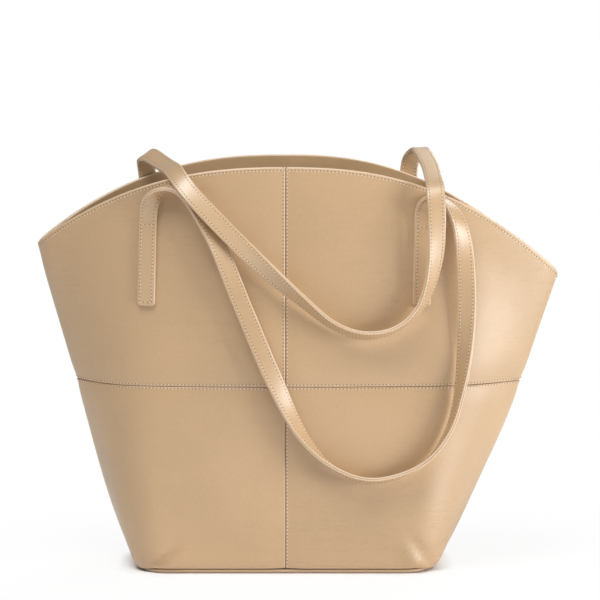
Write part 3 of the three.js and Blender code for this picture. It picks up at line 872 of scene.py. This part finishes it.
def over_mouth(reach, share, rise, width):
    x = reach * HANDLE_REACH
    z = float(rim_height(BACK, x))
    back = wall_points(BACK, *wall_place(BACK, x, z))[1]
    front = wall_points(FRONT, *wall_place(FRONT, x, float(rim_height(FRONT, x))))[1]
    point = np.array([x, back + (front - back) * share, z + rise * STRAP_WIDTH])
    return point, unit(np.array(width, float)), None


tab_drops = [TAB_TOP_DEPTH + share * TAB_LENGTH for share in (1, 0.55, 0.1, 0)]
LEAVE_DEPTH = 6


def front_tab(tab, side):
    """The front tabs are sewn on a little aslant."""
    middle = TAB_TOP_DEPTH + TAB_LENGTH / 2
    return [sewn(FRONT, tab + FRONT_TAB_SLANT * (middle - drop), drop, side) for drop in tab_drops]


FRONT_ROWS = [
    *front_tab(TAB_PLACES[FRONT][0], LEFT),
    hanging(-0.9894, 0.0879, 0.2625, -187),
    hanging(-0.975, 0.0575, 0.488, -164),
    hanging(-0.932, 0.03, 0.684, -118),
    hanging(-0.874, 0.022, 0.733, -90),
    hanging(-0.813, 0.028, 0.722, -75),
    hanging(-0.735, 0.0513, 0.766, -62),
    hanging(-0.5366, 0.1905, 0.985, -30),
    hanging(-0.3087, 0.4432, 0.82, -5),
    hanging(-0.0894, 0.6813, 0.711, -20),
    hanging(0.1317, 0.8757, 0.7, -65),
    hanging(0.3577, 0.9745, 0.7, -100),
    hanging(0.5854, 1.0025, 0.7, -110),
    hanging(0.8049, 0.9707, 0.7, -109),
    hanging(1.0325, 0.8828, 0.722, -95),
    hanging(1.187, 0.7546, 0.793, -79),
    hanging(1.267, 0.6044, 0.793, -62),
    hanging(1.309, 0.3956, 0.738, -20),
    hanging(1.305, 0.2088, 0.875, 2),
    hanging(1.2561, 0.0659, 0.875, 38),
    hanging(1.2033, 0.034, 0.738, 62),
    hanging(1.1463, 0.0195, 0.705, 78),
    hanging(1.0894, 0.0125, 0.705, 90),
    hanging(1.0325, 0.0256, 0.7, 110),
    hanging(1.0057, 0.0586, 0.394, 155),
    hanging(0.9976, 0.0879, 0.219, 172),
    *front_tab(TAB_PLACES[FRONT][1], RIGHT)[::-1],
]
BACK_ROWS = [
    *[sewn(BACK, TAB_PLACES[BACK][0], drop, LEFT) for drop in [*tab_drops, LEAVE_DEPTH]],
    over_mouth(-1.0407, -0.03, 0.6375, [0.95, 0.15, 0.2]),
    over_mouth(-1.0472, 0.083, 1.2125, [0.75, 0.35, 0.55]),
    over_mouth(-1.0024, 0.22, 1.1375, [0.8, 0.25, 0.55]),
    over_mouth(-0.9293, 0.47, 0.706, [0.85, 0.15, 0.5]),
    over_mouth(-0.8634, 0.75, 0.37, [0.9, 0.1, 0.42]),
    over_mouth(-0.8057, 1.02, 0.1, [0.88, 0.1, 0.46]),
    hanging(-0.748, 0.0165, 1.012, -20),
    hanging(-0.6748, 0.061, 1.3675, -25),
    hanging(-0.5366, 0.1355, 1.477, -15),
    hanging(-0.3415, 0.2344, 1.258, 0),
    hanging(-0.0976, 0.3443, 1.012, 28),
    hanging(0.1301, 0.4322, 0.864, 54),
    hanging(0.3496, 0.5055, 0.782, 65),
    hanging(0.5772, 0.5275, 0.777, 63),
    hanging(0.8049, 0.4835, 0.8, 74),
    hanging(0.9756, 0.3883, 0.93, 68),
    hanging(1.0732, 0.2381, 1.176, 42),
    hanging(1.0894, 0.0989, 1.559, 12),
    hanging(1.0837, 0.0183, 1.504, 4),
    hanging(1.0797, -0.022, 1.067, 2),
    over_mouth(1.069, 1.02, 0.681, [-1, 0, 0]),
    over_mouth(1.0545, 0.75, 1.1375, [-1, -0.05, 0]),
    over_mouth(1.0236, 0.46, 1.4875, [-0.98, -0.15, 0]),
    over_mouth(1.0032, 0.25, 1.644, [-0.95, -0.3, 0]),
    over_mouth(0.987, 0.082, 1.656, [-0.9, -0.4, 0]),
    over_mouth(0.9415, -0.01, 1.1, [-0.93, -0.35, 0.05]),
    over_mouth(0.9187, -0.045, 0.475, [-0.99, 0.08, 0.03]),
    *[sewn(BACK, TAB_PLACES[BACK][1], drop, RIGHT) for drop in [LEAVE_DEPTH, *tab_drops[::-1]]],
]


def spline(points, at, even):
    """A Catmull-Rom curve through rows. Even spacing is used for widths, centripetal spacing for places."""
    at = np.asarray(at, float)
    first = np.clip(np.floor(at).astype(int), 0, len(points) - 2)
    share = (at - first)[:, None]
    padded = np.concatenate([[2 * points[0] - points[1]], points, [2 * points[-1] - points[-2]]])
    p0, p1, p2, p3 = (padded[first + k] for k in range(4))
    if even:
        slope_in = 0.5 * (p2 - p0)
        slope_out = 0.5 * (p3 - p1)
    else:
        pairs = ((p0, p1), (p1, p2), (p2, p3))
        gap0, gap1, gap2 = (np.sqrt(np.linalg.norm(b - a, axis=1))[:, None] for a, b in pairs)
        slope_in = ((p1 - p0) / gap0 - (p2 - p0) / (gap0 + gap1) + (p2 - p1) / gap1) * gap1
        slope_out = ((p2 - p1) / gap1 - (p3 - p1) / (gap1 + gap2) + (p3 - p2) / gap2) * gap1
    square = -3 * p1 + 3 * p2 - 2 * slope_in - slope_out
    cube = 2 * p1 - 2 * p2 + slope_in + slope_out
    return p1 + slope_in * share + square * share**2 + cube * share**3


# A route is first drawn finely over its rows, then taken at even steps in mm and evened out.
FINE_STEPS = 4001
ROUTE_STEP = 1
EVENING_PASSES = 48


def evened(vectors):
    """Leather doesn't kink, so a route is evened out along its length. Its two ends stay."""
    for _ in range(EVENING_PASSES):
        vectors[1:-1] = (vectors[:-2] + 2 * vectors[1:-1] + vectors[2:]) / 4
    return vectors


def between(runs, known_runs, vectors):
    return np.stack([np.interp(runs, known_runs, vectors[:, axis]) for axis in range(3)], -1)


class Strap:
    """A strap's centre line, and at each place on it the ways of its length, its width and its face."""

    def __init__(self, rows, face_side):
        points = np.array([row[0] for row in rows])
        self.face_side = face_side
        self.rows = len(rows)
        widths = []
        for index, (_, width, lean) in enumerate(rows):
            if width is None:
                ahead = unit(points[index + 1] - points[index - 1])
                inward = unit(np.array([-ahead[2], 0, ahead[0]]))
                width = inward * math.cos(lean) + np.array([0, -math.sin(lean), 0])
            widths.append(width)
        fine = np.linspace(0, self.rows - 1, FINE_STEPS)
        steps = np.linalg.norm(np.diff(spline(points, fine, False), axis=0), axis=1)
        run = np.concatenate([[0], np.cumsum(steps)])
        self.length = run[-1]
        self.runs = np.linspace(0, self.length, round(self.length / ROUTE_STEP) + 1)
        self.row_shares = np.interp(self.runs, run, fine)
        self.centres = evened(spline(points, self.row_shares, False))
        self.turns = evened(spline(np.array(widths), self.row_shares, True))
        self.onward = np.gradient(self.centres, axis=0)

    def run_at(self, row):
        return float(np.interp(row, self.row_shares, self.runs))

    def frame_at(self, runs):
        centre = between(runs, self.runs, self.centres)
        ahead = unit(between(runs, self.runs, self.onward))
        width = between(runs, self.runs, self.turns)
        width = unit(width - ahead * (width * ahead).sum(1, keepdims=True))
        face = np.cross(width, ahead) * self.face_side
        return centre, ahead, width, face


FRONT_STRAP = Strap(FRONT_ROWS, 1)
BACK_STRAP = Strap(BACK_ROWS, -1)

# The outline of one layer of a strap: across from the middle, out from the middle of its thickness,
# and how much of the paler edge tone shows there: the cut edge, with a painted highlight where the edge
# rounds over.
STITCH_INSET = 2.6
CROWN = 0.12
HALF_WIDTH = STRAP_WIDTH / 2
layer_half = [
    (HALF_WIDTH, 0.35, 1.0),
    (HALF_WIDTH, 0.95, 1.0),
    (HALF_WIDTH - 0.2, 1.42, 0.7),
    (HALF_WIDTH - 0.7, 1.7, 0.2),
    (HALF_WIDTH - 1.4, STRAP_HALF + 0.3 * CROWN, 0.0),
    (HALF_WIDTH - STITCH_INSET, STRAP_HALF - 0.1, 0.0),
    (HALF_WIDTH - 3.6, STRAP_HALF + 0.6 * CROWN, 0.0),
    (2.8, STRAP_HALF + CROWN, 0.0),
    (1.0, STRAP_HALF + CROWN, 0.0),
]
inner_half = (HALF_WIDTH - 0.3, 0.12, 0.8)
other_half = [(-across, out, pale) for across, out, pale in [inner_half, *layer_half]]
LAYER_SECTION = np.array([inner_half, *layer_half, *other_half[::-1]])
STRAP_STEP = 1.9
# A ring this close to an end keeps the shading flat up to it, so that a join doesn't show.
JOIN_RING = 0.02


def end_narrowing(distance):
    """How far each edge of a strap moves in near its sewn end, where the corners are rounded."""
    left = np.clip(TAB_CORNER - distance, 0, TAB_CORNER)
    return TAB_CORNER - np.sqrt(TAB_CORNER**2 - left**2)


# Rings at a sewn end follow its rounded corners, and the next ring keeps this far away.
CORNER_RUNS = TAB_CORNER * np.array([0, 0.016, 0.06, 0.14, 0.26, 0.42, 0.62, 0.84, 1])
CORNER_CLEAR = 0.5
# A sewn end is rounded over, down to a least height, and shows the paler edge tone: the cut edge, with a
# painted highlight on the rounding.
TIP_ROUND = 0.8
TIP_LEAST = 0.35
TIP_EDGE = 0.7


def strap_layer(name, strap, start, end, side, material):
    """One layer of a strap between two lengths along it."""
    runs = np.linspace(start, end, max(2, round((end - start) / STRAP_STEP)))
    runs = np.array([start, start + JOIN_RING, *runs[1:-1], end - JOIN_RING, end])
    if start == 0:
        runs = np.concatenate([CORNER_RUNS, runs[runs > TAB_CORNER + CORNER_CLEAR]])
    if end == strap.length:
        runs = np.concatenate([runs[runs < end - TAB_CORNER - CORNER_CLEAR], end - CORNER_RUNS[::-1]])
    centre, _, width, face = strap.frame_at(runs)
    tip = np.minimum(runs, strap.length - runs)
    scale = (HALF_WIDTH - end_narrowing(tip)) / HALF_WIDTH
    across = LAYER_SECTION[:, 0][None, :] * scale[:, None]
    out = np.tile(LAYER_SECTION[:, 1], (len(runs), 1))
    round_over = rounded(tip, TIP_ROUND)[:, None]
    out = np.minimum(out, np.maximum(STRAP_HALF - round_over, TIP_LEAST))
    out[:, 0] = LAYER_SECTION[0, 1]
    out[:, -1] = LAYER_SECTION[-1, 1]
    points = centre[:, None] + width[:, None] * across[..., None] + side * face[:, None] * out[..., None]
    edge = np.tile(LAYER_SECTION[:, 2], (len(runs), 1))
    edge = np.maximum(edge, bell(tip, TIP_EDGE)[:, None])
    quads, caps = ring_faces(*points.shape[:2])
    return new_object(name, points.reshape(-1, 3), quads, caps, material, None, edge.ravel())


# The front strap is made in three lengths, because its two folds turn about places that differ in x.
front_left_split = FRONT_STRAP.run_at(10)
front_right_split = FRONT_STRAP.run_at(20)
FRONT_PARTS = {
    "left": (0, front_left_split),
    "middle": (front_left_split, front_right_split),
    "right": (front_right_split, FRONT_STRAP.length),
}
LAYERS = {"face": (1, STRAP_LEATHER, "strap_leather"), "backing": (-1, BACKING_LEATHER, "strap_backing")}


def move_front(item, part):
    if part == "middle":
        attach(item, "front_handle")
    else:
        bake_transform(item)


for layer, (side, material, slot) in LAYERS.items():
    for part, (start, end) in FRONT_PARTS.items():
        strap_piece = strap_layer(f"front_strap_{part}_{layer}", FRONT_STRAP, start, end, side, material)
        move_front(strap_piece, part)
        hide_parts(f"front_handle_{'loop' if part == 'middle' else part + '_end'}_{layer}")
    strap_piece = strap_layer(f"back_strap_{layer}", BACK_STRAP, 0, BACK_STRAP.length, side, material)
    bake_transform(strap_piece)
    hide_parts(*[f"back_handle_{part}_{layer}" for part in ("left_end", "loop", "right_end")])


# Stitching. Each stitch slants a little more or less than the last, by up to this angle.
SLANT_WAVER = 0.07
STITCH_SEED = 7


def stitch_tree():
    """Geometry Nodes: a lock stitch at each step of a path, with a dark dot after it, a painted shade for the
    needle hole.
    """
    tree = bpy.data.node_groups.new("stitch_row", "GeometryNodeTree")
    socket(tree, "Geometry", "NodeSocketGeometry", "INPUT")
    sizes = {
        "Pitch": 0.0032,
        "Stitch Length": 0.0022,
        "Thread Width": 0.00065,
        "Thread Height": 0.0005,
        "Hole Width": 0.00095,
        "Slant": 0.2,
    }
    names = {}
    for name, value in sizes.items():
        names[name] = socket(tree, name, "NodeSocketFloat", "INPUT", value).identifier
    for name in ("Thread", "Hole"):
        names[name] = socket(tree, name, "NodeSocketMaterial", "INPUT").identifier
    socket(tree, "Geometry", "NodeSocketGeometry", "OUTPUT")
    given = add(tree, "NodeGroupInput").outputs
    to_curve = add(tree, "GeometryNodeMeshToCurve")
    link(tree, given["Geometry"], to_curve.inputs["Mesh"])
    steps = add(tree, "GeometryNodeResampleCurve", mode="LENGTH")
    link(tree, to_curve.outputs["Curve"], steps.inputs["Curve"])
    link(tree, given["Pitch"], steps.inputs["Length"])
    tangent = add(tree, "GeometryNodeInputTangent")
    upward = add(tree, "GeometryNodeInputNamedAttribute", data_type="FLOAT_VECTOR")
    upward.inputs["Name"].default_value = "stitch_up"
    lie = add(tree, "FunctionNodeAlignRotationToVector", axis="X")
    link(tree, tangent.outputs["Tangent"], lie.inputs["Vector"])
    stand = add(tree, "FunctionNodeAlignRotationToVector", axis="Z", pivot_axis="X")
    link(tree, lie.outputs["Rotation"], stand.inputs["Rotation"])
    link(tree, upward.outputs["Attribute"], stand.inputs["Vector"])
    waver = add(tree, "FunctionNodeRandomValue", data_type="FLOAT")
    waver.inputs[2].default_value = -SLANT_WAVER
    waver.inputs[3].default_value = SLANT_WAVER
    waver.inputs["Seed"].default_value = STITCH_SEED
    slant = math_node(tree, "ADD", waver.outputs[1], 0.0)
    link(tree, given["Slant"], slant.node.inputs[1])
    angles = add(tree, "ShaderNodeCombineXYZ")
    link(tree, slant, angles.inputs["Z"])
    to_turn = add(tree, "FunctionNodeEulerToRotation")
    link(tree, angles.outputs[0], to_turn.inputs[0])
    turned = add(tree, "FunctionNodeRotateRotation", rotation_space="LOCAL")
    link(tree, stand.outputs["Rotation"], turned.inputs[0])
    link(tree, to_turn.outputs[0], turned.inputs[1])
    half_pitch = math_node(tree, "MULTIPLY", given["Pitch"], 0.5)
    shift = add(tree, "ShaderNodeCombineXYZ")
    link(tree, half_pitch, shift.inputs["X"])
    hole_depth = math_node(tree, "MULTIPLY", given["Hole Width"], 0.35)
    joined = add(tree, "GeometryNodeJoinGeometry")
    shapes = [
        ("Thread", 8, 5, ("Stitch Length", "Thread Width", "Thread Height"), None),
        ("Hole", 6, 4, ("Hole Width", "Hole Width", None), shift),
    ]
    for name, segments, rings, lengths, moved in shapes:
        ball = add(tree, "GeometryNodeMeshUVSphere")
        ball.inputs["Segments"].default_value = segments
        ball.inputs["Rings"].default_value = rings
        ball.inputs["Radius"].default_value = 0.5
        size = add(tree, "ShaderNodeCombineXYZ")
        for index, length in enumerate(lengths):
            link(tree, hole_depth if length is None else given[length], size.inputs[index])
        sized = add(tree, "GeometryNodeTransform")
        link(tree, ball.outputs["Mesh"], sized.inputs["Geometry"])
        link(tree, size.outputs[0], sized.inputs["Scale"])
        if moved is not None:
            link(tree, moved.outputs[0], sized.inputs["Translation"])
        placed = add(tree, "GeometryNodeInstanceOnPoints")
        link(tree, steps.outputs["Curve"], placed.inputs["Points"])
        link(tree, sized.outputs["Geometry"], placed.inputs["Instance"])
        link(tree, turned.outputs[0], placed.inputs["Rotation"])
        smooth = add(tree, "GeometryNodeSetShadeSmooth")
        real = add(tree, "GeometryNodeRealizeInstances")
        coloured = add(tree, "GeometryNodeSetMaterial")
        link(tree, placed.outputs["Instances"], real.inputs["Geometry"])
        link(tree, real.outputs["Geometry"], smooth.inputs["Geometry"])
        link(tree, smooth.outputs["Geometry"], coloured.inputs["Geometry"])
        link(tree, given[name], coloured.inputs["Material"])
        link(tree, coloured.outputs["Geometry"], joined.inputs["Geometry"])
    result = add(tree, "NodeGroupOutput")
    link(tree, joined.outputs["Geometry"], result.inputs["Geometry"])
    return tree, names


STITCH_ROW, STITCH_INPUTS = stitch_tree()
# How far in mm the middle of a stitch lies above the surface.
STITCH_LIFT = 0.08


def stitches(name, paths, slot, **sizes):
    """Turns paths, each a list of points and outward ways, into one mesh of stitches."""
    points = np.concatenate([path[0] + path[1] * STITCH_LIFT for path in paths])
    upward = np.concatenate([path[1] for path in paths])
    edges = []
    first = 0
    for path in paths:
        edges += [(first + k, first + k + 1) for k in range(len(path[0]) - 1)]
        first += len(path[0])
    mesh = bpy.data.meshes.new(f"{name}_path")
    mesh.from_pydata((points * MM).tolist(), edges, [])
    attribute = mesh.attributes.new("stitch_up", "FLOAT_VECTOR", "POINT")
    attribute.data.foreach_set("vector", upward.astype(np.float32).ravel())
    item = bpy.data.objects.new(name, mesh)
    bpy.context.scene.collection.objects.link(item)
    modifier = item.modifiers.new("stitching", "NODES")
    modifier.node_group = STITCH_ROW
    settings = {"Thread": THREAD, "Hole": NEEDLE_HOLE_SHADE}
    for key, value in sizes.items():
        settings[key.replace("_", " ").title()] = value
    for key, value in settings.items():
        modifier[STITCH_INPUTS[key]] = value
    evaluated = item.evaluated_get(bpy.context.evaluated_depsgraph_get())
    plain = bpy.data.meshes.new_from_object(evaluated)
    item.modifiers.remove(modifier)
    item.data = plain
    bpy.data.meshes.remove(mesh)
    return item


def wall_path(face, along, up):
    along, up = np.broadcast_arrays(np.asarray(along, float), np.asarray(up, float))
    return layer_points(face, along, up, np.zeros(along.shape)), wall_normals(face, along, up)


# How far the rows lie from the seams and the rim, and where the upright and the level ones stop.
SEAM_ROW = 1.7
RIM_ROW = 3.5
SEAM_STOP = 2.5
RIM_STOP = 2.2
FOOT_STOP = 7
LEVEL_STOP = 0.992
PATH_POINTS = 160
for wall in (FRONT, BACK):
    word = FACE_NAMES[wall]
    paths = []
    for half in (LEFT, RIGHT):
        above_seam = up_at_height(wall, 0.0, SEAM_HEIGHT + SEAM_STOP)
        tall = np.linspace(above_seam, up_at_drop(wall, 0.0, RIM_STOP), PATH_POINTS)
        paths.append(wall_path(wall, half * SEAM_ROW / half_length(wall, half, tall), tall))
    below_seam = up_at_height(wall, 0.0, SEAM_HEIGHT - SEAM_STOP)
    low = np.linspace(up_at_height(wall, 0.0, FOOT_STOP), below_seam, PATH_POINTS)
    paths.append(wall_path(wall, SEAM_ROW / half_length(wall, RIGHT, low), low))
    level = np.linspace(-LEVEL_STOP, LEVEL_STOP, 2 * PATH_POINTS)
    for offset in (-SEAM_ROW, SEAM_ROW):
        paths.append(wall_path(wall, level, up_at_height(wall, level, SEAM_HEIGHT + offset)))
    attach(stitches(f"{word}_panel_stitches", paths, "panel_leather"), "bag")
    rim_path = wall_path(wall, level, up_at_drop(wall, level, RIM_ROW))
    rim_stitches = stitches(
        f"{word}_rim_stitches", [rim_path], "panel_leather", thread_width=0.0008, slant=0.5
    )
    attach(rim_stitches, "bag")


# How high above the strap's middle the rows along its edges lie, and the rows across a tab.
EDGE_SEAT = 1.66
CROSS_SEAT = 1.78
STRAP_PATH_STEP = 2
# How far a row across a tab stops short of the rows along its edges.
CROSS_SHORT = 1.6
CROSS_POINTS = 12


def strap_path(strap, start, end, across, side):
    """A row along a strap."""
    runs = np.linspace(start, end, max(2, round((end - start) / STRAP_PATH_STEP)))
    centre, _, width, face = strap.frame_at(runs)
    return centre + width * across + side * face * EDGE_SEAT, side * face


def cross_path(strap, run):
    """A row across a tab."""
    centre, _, width, face = strap.frame_at(np.array([run]))
    reach = HALF_WIDTH - STITCH_INSET - CROSS_SHORT
    across = np.linspace(-reach, reach, CROSS_POINTS)[:, None]
    return centre + width * across + face * CROSS_SEAT, np.tile(face, (CROSS_POINTS, 1))


def strap_rows(strap, start, end):
    """Both edge rows on both faces, and the rows that close the box on a tab."""
    edge = HALF_WIDTH - STITCH_INSET
    foot = STITCH_INSET
    tab_top = strap.run_at(3)
    far_top = strap.run_at(strap.rows - 4)
    paths = []
    for across in (-edge, edge):
        paths.append(strap_path(strap, max(start, foot), min(end, strap.length - foot), across, 1))
        paths.append(strap_path(strap, max(start, tab_top), min(end, far_top), across, -1))
    if start == 0:
        paths += [cross_path(strap, foot), cross_path(strap, tab_top)]
    if end == strap.length:
        paths += [cross_path(strap, strap.length - foot), cross_path(strap, far_top)]
    return paths


for part, (start, end) in FRONT_PARTS.items():
    rows = stitches(f"front_strap_{part}_stitches", strap_rows(FRONT_STRAP, start, end), "strap_leather")
    move_front(rows, part)
rows = stitches("back_strap_stitches", strap_rows(BACK_STRAP, 0, BACK_STRAP.length), "strap_leather")
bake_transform(rows)


# Camera, floor and light.
TARGET = Vector((0.013, -0.020, 0.243))
ELEVATION = math.radians(6.5)
DISTANCE = 3.0
camera = bpy.data.objects.new("camera", bpy.data.cameras.new("camera"))
bpy.context.scene.collection.objects.link(camera)
camera.data.lens = 200
camera.data.sensor_width = 36
camera.data.clip_end = 60
camera.location = TARGET + Vector((0, -math.cos(ELEVATION), math.sin(ELEVATION))) * DISTANCE
camera.rotation_euler = (math.pi / 2 - ELEVATION, 0, 0)
bpy.context.scene.camera = camera

floor_mesh = bpy.data.meshes.new("floor")
FLOOR_REACH = 9
floor_mesh.from_pydata([(-FLOOR_REACH, -FLOOR_REACH, 0), (FLOOR_REACH, -FLOOR_REACH, 0),
                        (FLOOR_REACH, FLOOR_REACH, 0), (-FLOOR_REACH, FLOOR_REACH, 0)], [], [(0, 1, 2, 3)])
floor = bpy.data.objects.new("floor", floor_mesh)
bpy.context.scene.collection.objects.link(floor)
floor_paper, floor_tree, floor_shader = new_material("floor_paper")
floor_shader.inputs["Base Color"].default_value = (0.95, 0.95, 0.95, 1)
floor_shader.inputs["Roughness"].default_value = 0.9
floor_shader.inputs["Specular IOR Level"].default_value = 0.0
# The paper glows for the camera alone, so it looks white away from the bag. Close to the base it glows less
# and keeps the bag's shadow, which is darkest where the base touches it. The reaches are in metres.
NEAR_GLOW = 0.86
NEAR_REACH = 0.3
TOUCH_GLOW = 0.0
TOUCH_REACH = 0.02
glow = add(floor_tree, "ShaderNodeEmission")
floor_path = add(floor_tree, "ShaderNodeLightPath")
floor_place = add(floor_tree, "ShaderNodeTexCoord")
base_round = (BASE_RADIUS - FOOT_TUCK) * MM
half_base = Vector((BASE_LENGTH / 2 * MM, BASE_DEPTH / 2 * MM, 0))
straight = half_base - Vector((BASE_RADIUS * MM, BASE_RADIUS * MM, 0))
outside = floor_place.outputs["Object"]
for operation, amount in (("ABSOLUTE", None), ("SUBTRACT", straight), ("MAXIMUM", (0, 0, 0))):
    step = add(floor_tree, "ShaderNodeVectorMath", operation=operation)
    link(floor_tree, outside, step.inputs[0])
    if amount is not None:
        step.inputs[1].default_value = amount
    outside = step.outputs["Vector"]
away = add(floor_tree, "ShaderNodeVectorMath", operation="LENGTH")
link(floor_tree, outside, away.inputs[0])
from_base = math_node(floor_tree, "SUBTRACT", away.outputs["Value"], base_round)
wide_glow = map_range(floor_tree, from_base, 0, NEAR_REACH, NEAR_GLOW, 1)
touch_glow = map_range(floor_tree, from_base, 0, TOUCH_REACH, TOUCH_GLOW, 1)
glow_share = math_node(floor_tree, "MULTIPLY", wide_glow, touch_glow)
lit = add(floor_tree, "ShaderNodeMixShader")
seen_glow = math_node(floor_tree, "MULTIPLY", floor_path.outputs["Is Camera Ray"], glow_share)
link(floor_tree, seen_glow, lit.inputs[0])
link(floor_tree, floor_shader.outputs[0], lit.inputs[1])
link(floor_tree, glow.outputs[0], lit.inputs[2])
link(floor_tree, lit.outputs[0], floor_tree.nodes["Material Output"].inputs["Surface"])
floor_mesh.materials.append(floor_paper)
floor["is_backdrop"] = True


LIGHT_AIM = Vector((0, 0, 0.2))


def softbox(name, power, size, turn, rise, distance):
    """A square lamp that faces the bag, turned to the right of the front and raised, in degrees."""
    data = bpy.data.lights.new(name, "AREA")
    data.shape = "SQUARE"
    data.size = size
    data.energy = power
    item = bpy.data.objects.new(name, data)
    turn = math.radians(turn)
    rise = math.radians(rise)
    way = Vector((math.sin(turn) * math.cos(rise), -math.cos(turn) * math.cos(rise), math.sin(rise)))
    item.location = LIGHT_AIM + way * distance
    item.rotation_euler = way.to_track_quat("Z", "Y").to_euler()
    bpy.context.scene.collection.objects.link(item)


softbox("side_light", 40, 1.0, 62, 3, 2.2)
softbox("top_light", 35, 1.1, -25, 62, 2.2)
softbox("back_light", 20, 1.2, 150, 35, 2.4)

world = bpy.data.worlds.new("studio")
bpy.context.scene.world = world
world.use_nodes = True
sky = world.node_tree
soft_light = sky.nodes["Background"]
soft_light.inputs["Color"].default_value = (1, 1, 1, 1)
soft_light.inputs["Strength"].default_value = 0.24
white = add(sky, "ShaderNodeBackground")
white.inputs["Color"].default_value = (1, 1, 1, 1)
white.inputs["Strength"].default_value = 1.0
path = add(sky, "ShaderNodeLightPath")
seen = math_node(sky, "MAXIMUM", path.outputs["Is Camera Ray"], path.outputs["Is Transmission Ray"])
mix = add(sky, "ShaderNodeMixShader")
link(sky, seen, mix.inputs[0])
link(sky, soft_light.outputs[0], mix.inputs[1])
link(sky, white.outputs[0], mix.inputs[2])
link(sky, mix.outputs[0], sky.nodes["World Output"].inputs["Surface"])

bpy.context.scene.view_settings.view_transform = "Standard"

low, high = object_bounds()
